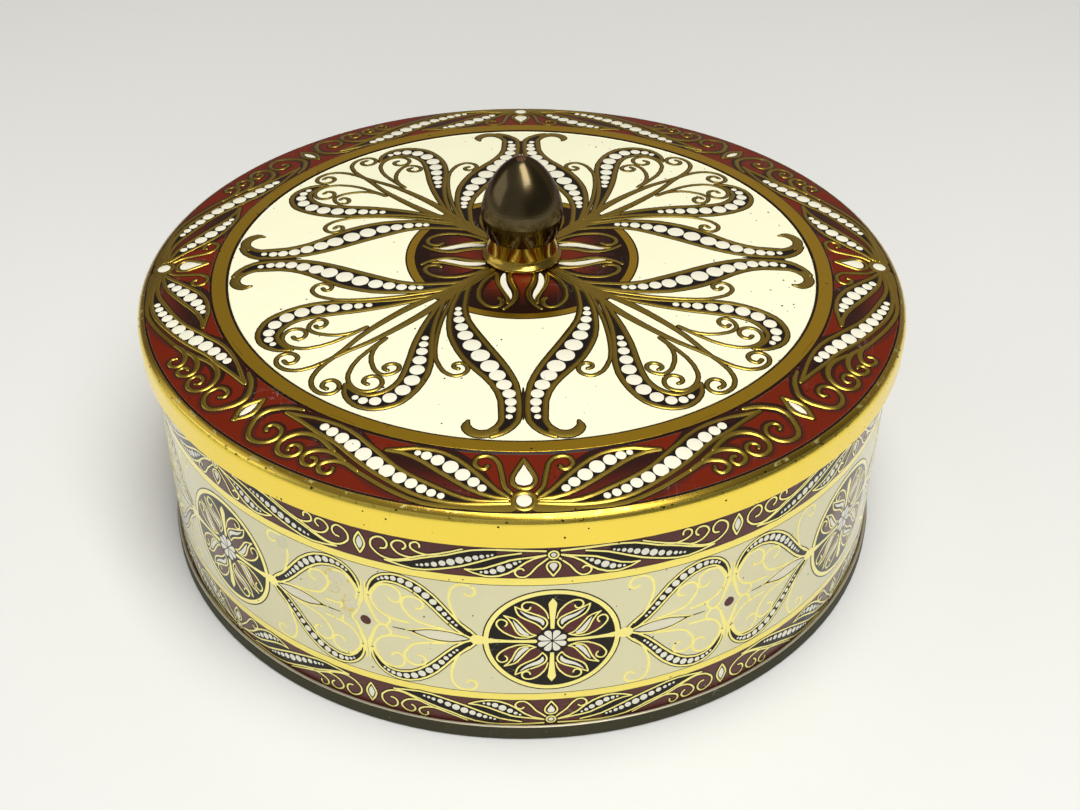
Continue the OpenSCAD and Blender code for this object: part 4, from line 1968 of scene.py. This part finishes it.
    @staticmethod
    def bands(art: Ornament) -> None:
        """Draws pearls, drops, leaves and scrolls in the upper and lower maroon bands.

        Args:
            art: The pattern.
        """
        art.beads([(0, 20.02, 0.48)], Repeat.UPRIGHT)
        art.ring((0, 20.02), 0.65, 0.98, Repeat.UPRIGHT, 24)
        drop = [(16.4, 0.03), (16.9, 0.35), (17.4, 0.62), (17.8, 0.66), (18.15, 0.45),
                (18.3, 0.03)]
        art.shape(pointed_outline(drop), Ink.PALE, Repeat.UPRIGHT)
        art.line([(0, 18.6), (0.75, 18.35), (1.15, 17.6), (1.05, 17), (0.6, 16.1), (0, 15.3)],
                 0.32)
        art.line([(1, 19.2), (1.8, 18.5), (2.7, 17.6), (3.4, 16.6), (4.07, 15.7), (4.98, 15.13),
                  (6, 15.36), (6.45, 16.15), (6.1, 16.88), (5.3, 17.06), (4.93, 16.7)], 0.34)
        short = [(1.34, 20), (3.16, 19.67), (5.2, 19.33), (7, 19), (8.6, 18.3), (10.2, 17.5),
                 (11.8, 16.83), (13.16, 16.5), (14.86, 16.42)]
        under = [(1.45, 19.9), (3.16, 19.33), (4.5, 18.54), (5.66, 17.5), (6.8, 16.5),
                 (8.16, 15.7), (9.5, 15.24), (11.1, 15.13), (12.7, 15.47), (14.07, 16),
                 (14.86, 16.42)]
        art.leaf((short, under), (0.34, 0.38, 0.38, 0.3), [
            (5.61, 18.65, 0.25), (6.41, 18.24, 0.39), (7.41, 17.63, 0.57), (8.77, 16.95, 0.75),
            (10.09, 16.3, 0.6), (11.25, 16.08, 0.39), (12.1, 16, 0.25),
        ])
        upper = [(1.34, 20.9), (5.5, 21.1), (9.5, 21.2), (11.3, 21.1), (13.16, 20.9), (15, 20.36),
                 (16.8, 19.67), (18.6, 18.9), (20.4, 18.4), (22.25, 17.74), (24.07, 16.95),
                 (25.9, 16.27), (27.7, 15.9), (28.84, 15.74)]
        lower = [(5.4, 20.5), (7.5, 20.1), (9.3, 19.67), (10.9, 19), (12.7, 18.2), (14.5, 17.4),
                 (16.3, 16.7), (18.2, 16.15), (20, 15.6), (21.8, 15.17), (23.6, 15),
                 (25.4, 15.13), (27.25, 15.5), (28.84, 15.74)]
        art.leaf((upper[2:], lower[2:]), 0.36, [
            (10.2, 19.97, 0.25), (10.95, 19.74, 0.3), (11.93, 19.5, 0.42), (13, 19.17, 0.52),
            (14.23, 18.72, 0.63), (15.7, 18.27, 0.76), (17.23, 17.7, 0.76), (18.7, 17.2, 0.63),
            (20.1, 16.72, 0.56), (21.34, 16.42, 0.4), (22.25, 16.17, 0.32), (23.07, 16, 0.25),
        ])
        art.line(upper[:3], 0.42)
        art.line(lower[:3], 0.34)
        art.between(short[2:], lower[:6])
        scrolls = (
            [(15.2, 20.85), (18.8, 19.4), (22.5, 18.2), (24.5, 17.2), (26.1, 16.5), (27.7, 16.15),
             (29.3, 16.38), (30.55, 17.17), (31.34, 18.3), (31.2, 19.56), (30.3, 20.47),
             (29.3, 20.7), (28.5, 20.13), (28.27, 19.2), (28.7, 18.4), (29.5, 18.2)],
            [(22.2, 18.3), (24.07, 17.5), (25.2, 17.5), (26.34, 17.86), (27.1, 18.54),
             (27.5, 19.45), (27, 20.36), (26.1, 20.77), (25.3, 20.6), (24.9, 19.9), (25.2, 19.2),
             (25.5, 19)],
            [(19.2, 19.2), (21.3, 18.65), (22.5, 18.77), (23.4, 19.1), (24.07, 19.67),
             (24.1, 20.47), (23.6, 20.97), (22.9, 21.04), (22.5, 20.6), (22.5, 20.1)],
        )
        for scroll in scrolls:
            art.line(scroll, (0.3, 0.36, 0.36, 0.36))
        oval = [(16.9, 0.03), (17.5, 0.4), (18.3, 0.62), (19.1, 0.4), (19.7, 0.03)]
        art.shape(pointed_outline(oval), Ink.PALE, Repeat.BETWEEN)
        art.line([(0, 20.6), (0.55, 19.7), (0.98, 18.3), (0.55, 16.9), (0, 16)], 0.36,
                 Repeat.CORNERS)


@dataclass
class Knob:
    """The acorn knob, its collar and the fixing under the lid. Sizes in metres.

    Attributes:
        cap: The acorn's node.
        collar: The collar's node.
        fixing: The nodes of screw and washer.
        cap_fade: Height above its foot over which the acorn is painted darker, as painted shade.
        collar_fade: Height above its foot over which the collar's colour changes.
        tip: Radius of the rubbed tip.
        tip_ragged: How far the rubbed tip's edge wanders, as a share.
    """

    cap: str = "knob_cap"
    collar: str = "knob_collar"
    fixing: tuple[str, ...] = ("fixing_screw", "fixing_washer")
    cap_fade: float = 0.005
    collar_fade: float = 0.002
    tip: float = 0.001
    tip_ragged: float = 2.2

    def build(self, effects: Effects) -> None:
        """Dresses the solids.

        Args:
            effects: The shared effects.
        """
        low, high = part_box(self.cap)
        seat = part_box(self.collar)[0].z
        age = Ageing(mottle=0.25, mottle_scale=160.0, specks=0.06, speck_scale=1800.0,
                     spot=ink(40, 30, 20), bare=ink(170, 140, 80))
        tip = Patch((0.0, 0.0, high.z), self.tip, self.tip_ragged)
        cap = AntiqueBrass(
            "dark_antique_brass", ink(88, 75, 46), 1.0, 0.23, 0.4, age, edge=ink(150, 130, 90),
            # Painted shade: the acorn's lowest few millimetres are painted a darker olive than the
            # rest.
            near=ink(70, 58, 26), low=low.z, high=low.z + self.cap_fade, tip=tip,
        )
        collar = AntiqueBrass(
            "polished_collar_brass", ink(185, 155, 64), 1.0, 0.18, 0.1, age,
            near=ink(190, 160, 76), low=seat, high=seat + self.collar_fade, tip=tip,
        )
        steel = Finish("plated_steel", ink(176, 174, 166), 1.0, 0.38, 0.0,
                       Ageing(mottle=0.15, specks=0.05))
        for finish, names in ((cap, (self.cap,)), (collar, (self.collar,)), (steel, self.fixing)):
            material = finish.material(effects)
            for name in names:
                dress(name, material)


@dataclass
class Studio:
    """Floor, light and camera. Lengths in metres, angles in degrees.

    Attributes:
        reach: Distance from the camera to where it aims.
        pitch: How far down the camera looks.
        aim: Height at which it aims.
        lens: Its focal length in millimetres.
        shift: How far the picture is shifted sideways and up.
        sensor: Width of its sensor in millimetres.
        clip: Nearest and farthest that it sees.
        floor_size: Radius of the floor.
        floor_disc: Radius of the disc in its middle, as a share.
        floor_sides: Points round it.
        floor_drop: How far it lies under the foot.
        floor_colour: Its colour.
        lit: Height of the place that the lamps point at.
        back_tones: Light from the back of the room, at the right and at the left.
        back_turn: Sideways parts of a direction between which that light changes.
        room_tones: Light of the rest of the room, at the left and at the right.
        room_turn: Sideways parts between which it changes.
        back_edge: Backward parts of a direction between which the back sets in.
        back_top: Upward parts between which it sets in.
    """

    reach: float = 0.3148
    pitch: float = 35.55
    aim: float = 0.0279
    lens: float = 49.33
    shift: Point = (0.0166, -0.028)
    sensor: float = 36.0
    clip: Point = (0.01, 50.0)
    floor_size: float = 3.0
    floor_disc: float = 0.12
    floor_sides: int = 96
    floor_drop: float = 2e-5
    floor_colour: Colour = ink(240, 240, 236)
    lit: float = 0.04
    back_tones: tuple[Colour, Colour] = ((0.3, 0.265, 0.22), (0.17, 0.15, 0.125))
    back_turn: Point = (0.1, -0.6)
    room_tones: tuple[Colour, Colour] = ((0.3, 0.3, 0.3), (0.12, 0.12, 0.118))
    room_turn: Point = (-0.2, 0.35)
    back_edge: Point = (0.1, 0.5)
    back_top: Point = (0.95, 0.75)

    def build(self, effects: Effects) -> None:
        """Makes the whole studio.

        Args:
            effects: The shared effects.
        """
        self.floor(effects)
        self.world()
        self.lamps()
        self.camera()

    def floor(self, effects: Effects) -> None:
        """Makes the pale floor: a disc with a ring round it, just under the tin's foot.

        Args:
            effects: The shared effects.
        """
        outline, n = round_outline((0, 0), self.floor_size, self.floor_sides), self.floor_sides
        places = np.vstack([outline, outline * self.floor_disc])
        points = [(x, y, -self.floor_drop) for x, y in places]
        faces = [(i, (i + 1) % n, n + (i + 1) % n, n + i) for i in range(n)]
        faces.append(tuple(range(n, 2 * n)))
        finish = Finish("pale_floor", self.floor_colour, 0.0, 0.6, 0.0,
                        Ageing(mottle=0.015, mottle_scale=9.0, specks=0.0, scratches=0.0))
        put_in_scene("floor", points, faces, finish.material(effects))

    def world(self) -> None:
        """Lights the room softly, darker behind the tin and darkest there to the left."""
        world = bpy.data.worlds.new("soft_room")
        bpy.context.scene.world = world
        world.use_nodes = True
        graph = Graph(world.node_tree)
        way = graph.node("ShaderNodeTexCoord").outputs["Generated"]
        x, y, z = graph.node("ShaderNodeSeparateXYZ", {0: way}).outputs
        back = graph.mix(graph.ramp(x, *self.back_turn), *self.back_tones)
        room = graph.mix(graph.ramp(x, *self.room_turn), *self.room_tones)
        behind = graph.math("MULTIPLY", graph.ramp(y, *self.back_edge),
                            graph.ramp(z, *self.back_top))
        background = world.node_tree.nodes["Background"].inputs["Color"]
        graph.feed(background, graph.mix(behind, room, back))

    @staticmethod
    def aimed(
        name: str, data: bpy.types.Light | bpy.types.Camera, place: Vector, target: Vector
    ) -> bpy.types.Object:
        """Puts a lamp or camera in the scene.

        Args:
            name: Its name.
            data: The lamp or camera.
            place: Where it stands.
            target: What it points at.

        Returns:
            The object.
        """
        made = bpy.data.objects.new(name, data)
        made.location = place
        made.rotation_mode = "QUATERNION"
        made.rotation_quaternion = (target - place).to_track_quat("-Z", "Y")
        bpy.context.scene.collection.objects.link(made)
        return made

    def lamp(
        self, name: str, place: Sequence[float], size: Point, watts: float, mirrored: bool = True
    ) -> None:
        """Adds a soft rectangular lamp that points at the tin.

        Args:
            name: Its name.
            place: Where it stands.
            size: Its width and height.
            watts: Its power.
            mirrored: True if shiny faces mirror it.
        """
        light = bpy.data.lights.new(name, "AREA")
        light.shape = "RECTANGLE"
        light.size, light.size_y = size
        light.energy = watts
        lamp = self.aimed(name, light, Vector(place), Vector((0, 0, self.lit)))
        lamp.visible_glossy = mirrored

    def lamps(self) -> None:
        """Adds the key, a low fill, the strip that knob and lines mirror, and a card at left."""
        self.lamp("key", (0.35, -0.1, 1.1), (1.0, 1.0), 0.4, mirrored=False)
        self.lamp("fill", (0.0, -1.2, 0.4), (0.9, 0.4), 3.9, mirrored=False)
        self.lamp("strip", (0.15, -0.3, 0.92), (0.4, 0.9), 7.8)
        self.lamp("card", (-1.0, 0.0, 0.42), (0.9, 0.6), 1.4)

    def camera(self) -> None:
        """Sets the camera where the photograph was taken from."""
        data = bpy.data.cameras.new("camera")
        data.lens, data.sensor_width = self.lens, self.sensor
        data.shift_x, data.shift_y = self.shift
        data.clip_start, data.clip_end = self.clip
        angle = math.radians(self.pitch)
        target = Vector((0, 0, self.aim))
        place = target + Vector((0, -math.cos(angle), math.sin(angle))) * self.reach
        bpy.context.scene.camera = self.aimed("camera", data, place, target)


def main() -> None:
    """Builds the tin and its studio."""
    logging.basicConfig(level=logging.INFO, format="%(name)s %(message)s")
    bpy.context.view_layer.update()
    bpy.context.scene.view_settings.view_transform = "Standard"
    effects = Effects()
    for part in (TinBody(), Lid(), Knob(), Studio()):
        part.build(effects)


if __name__ == "__main__":
    main()
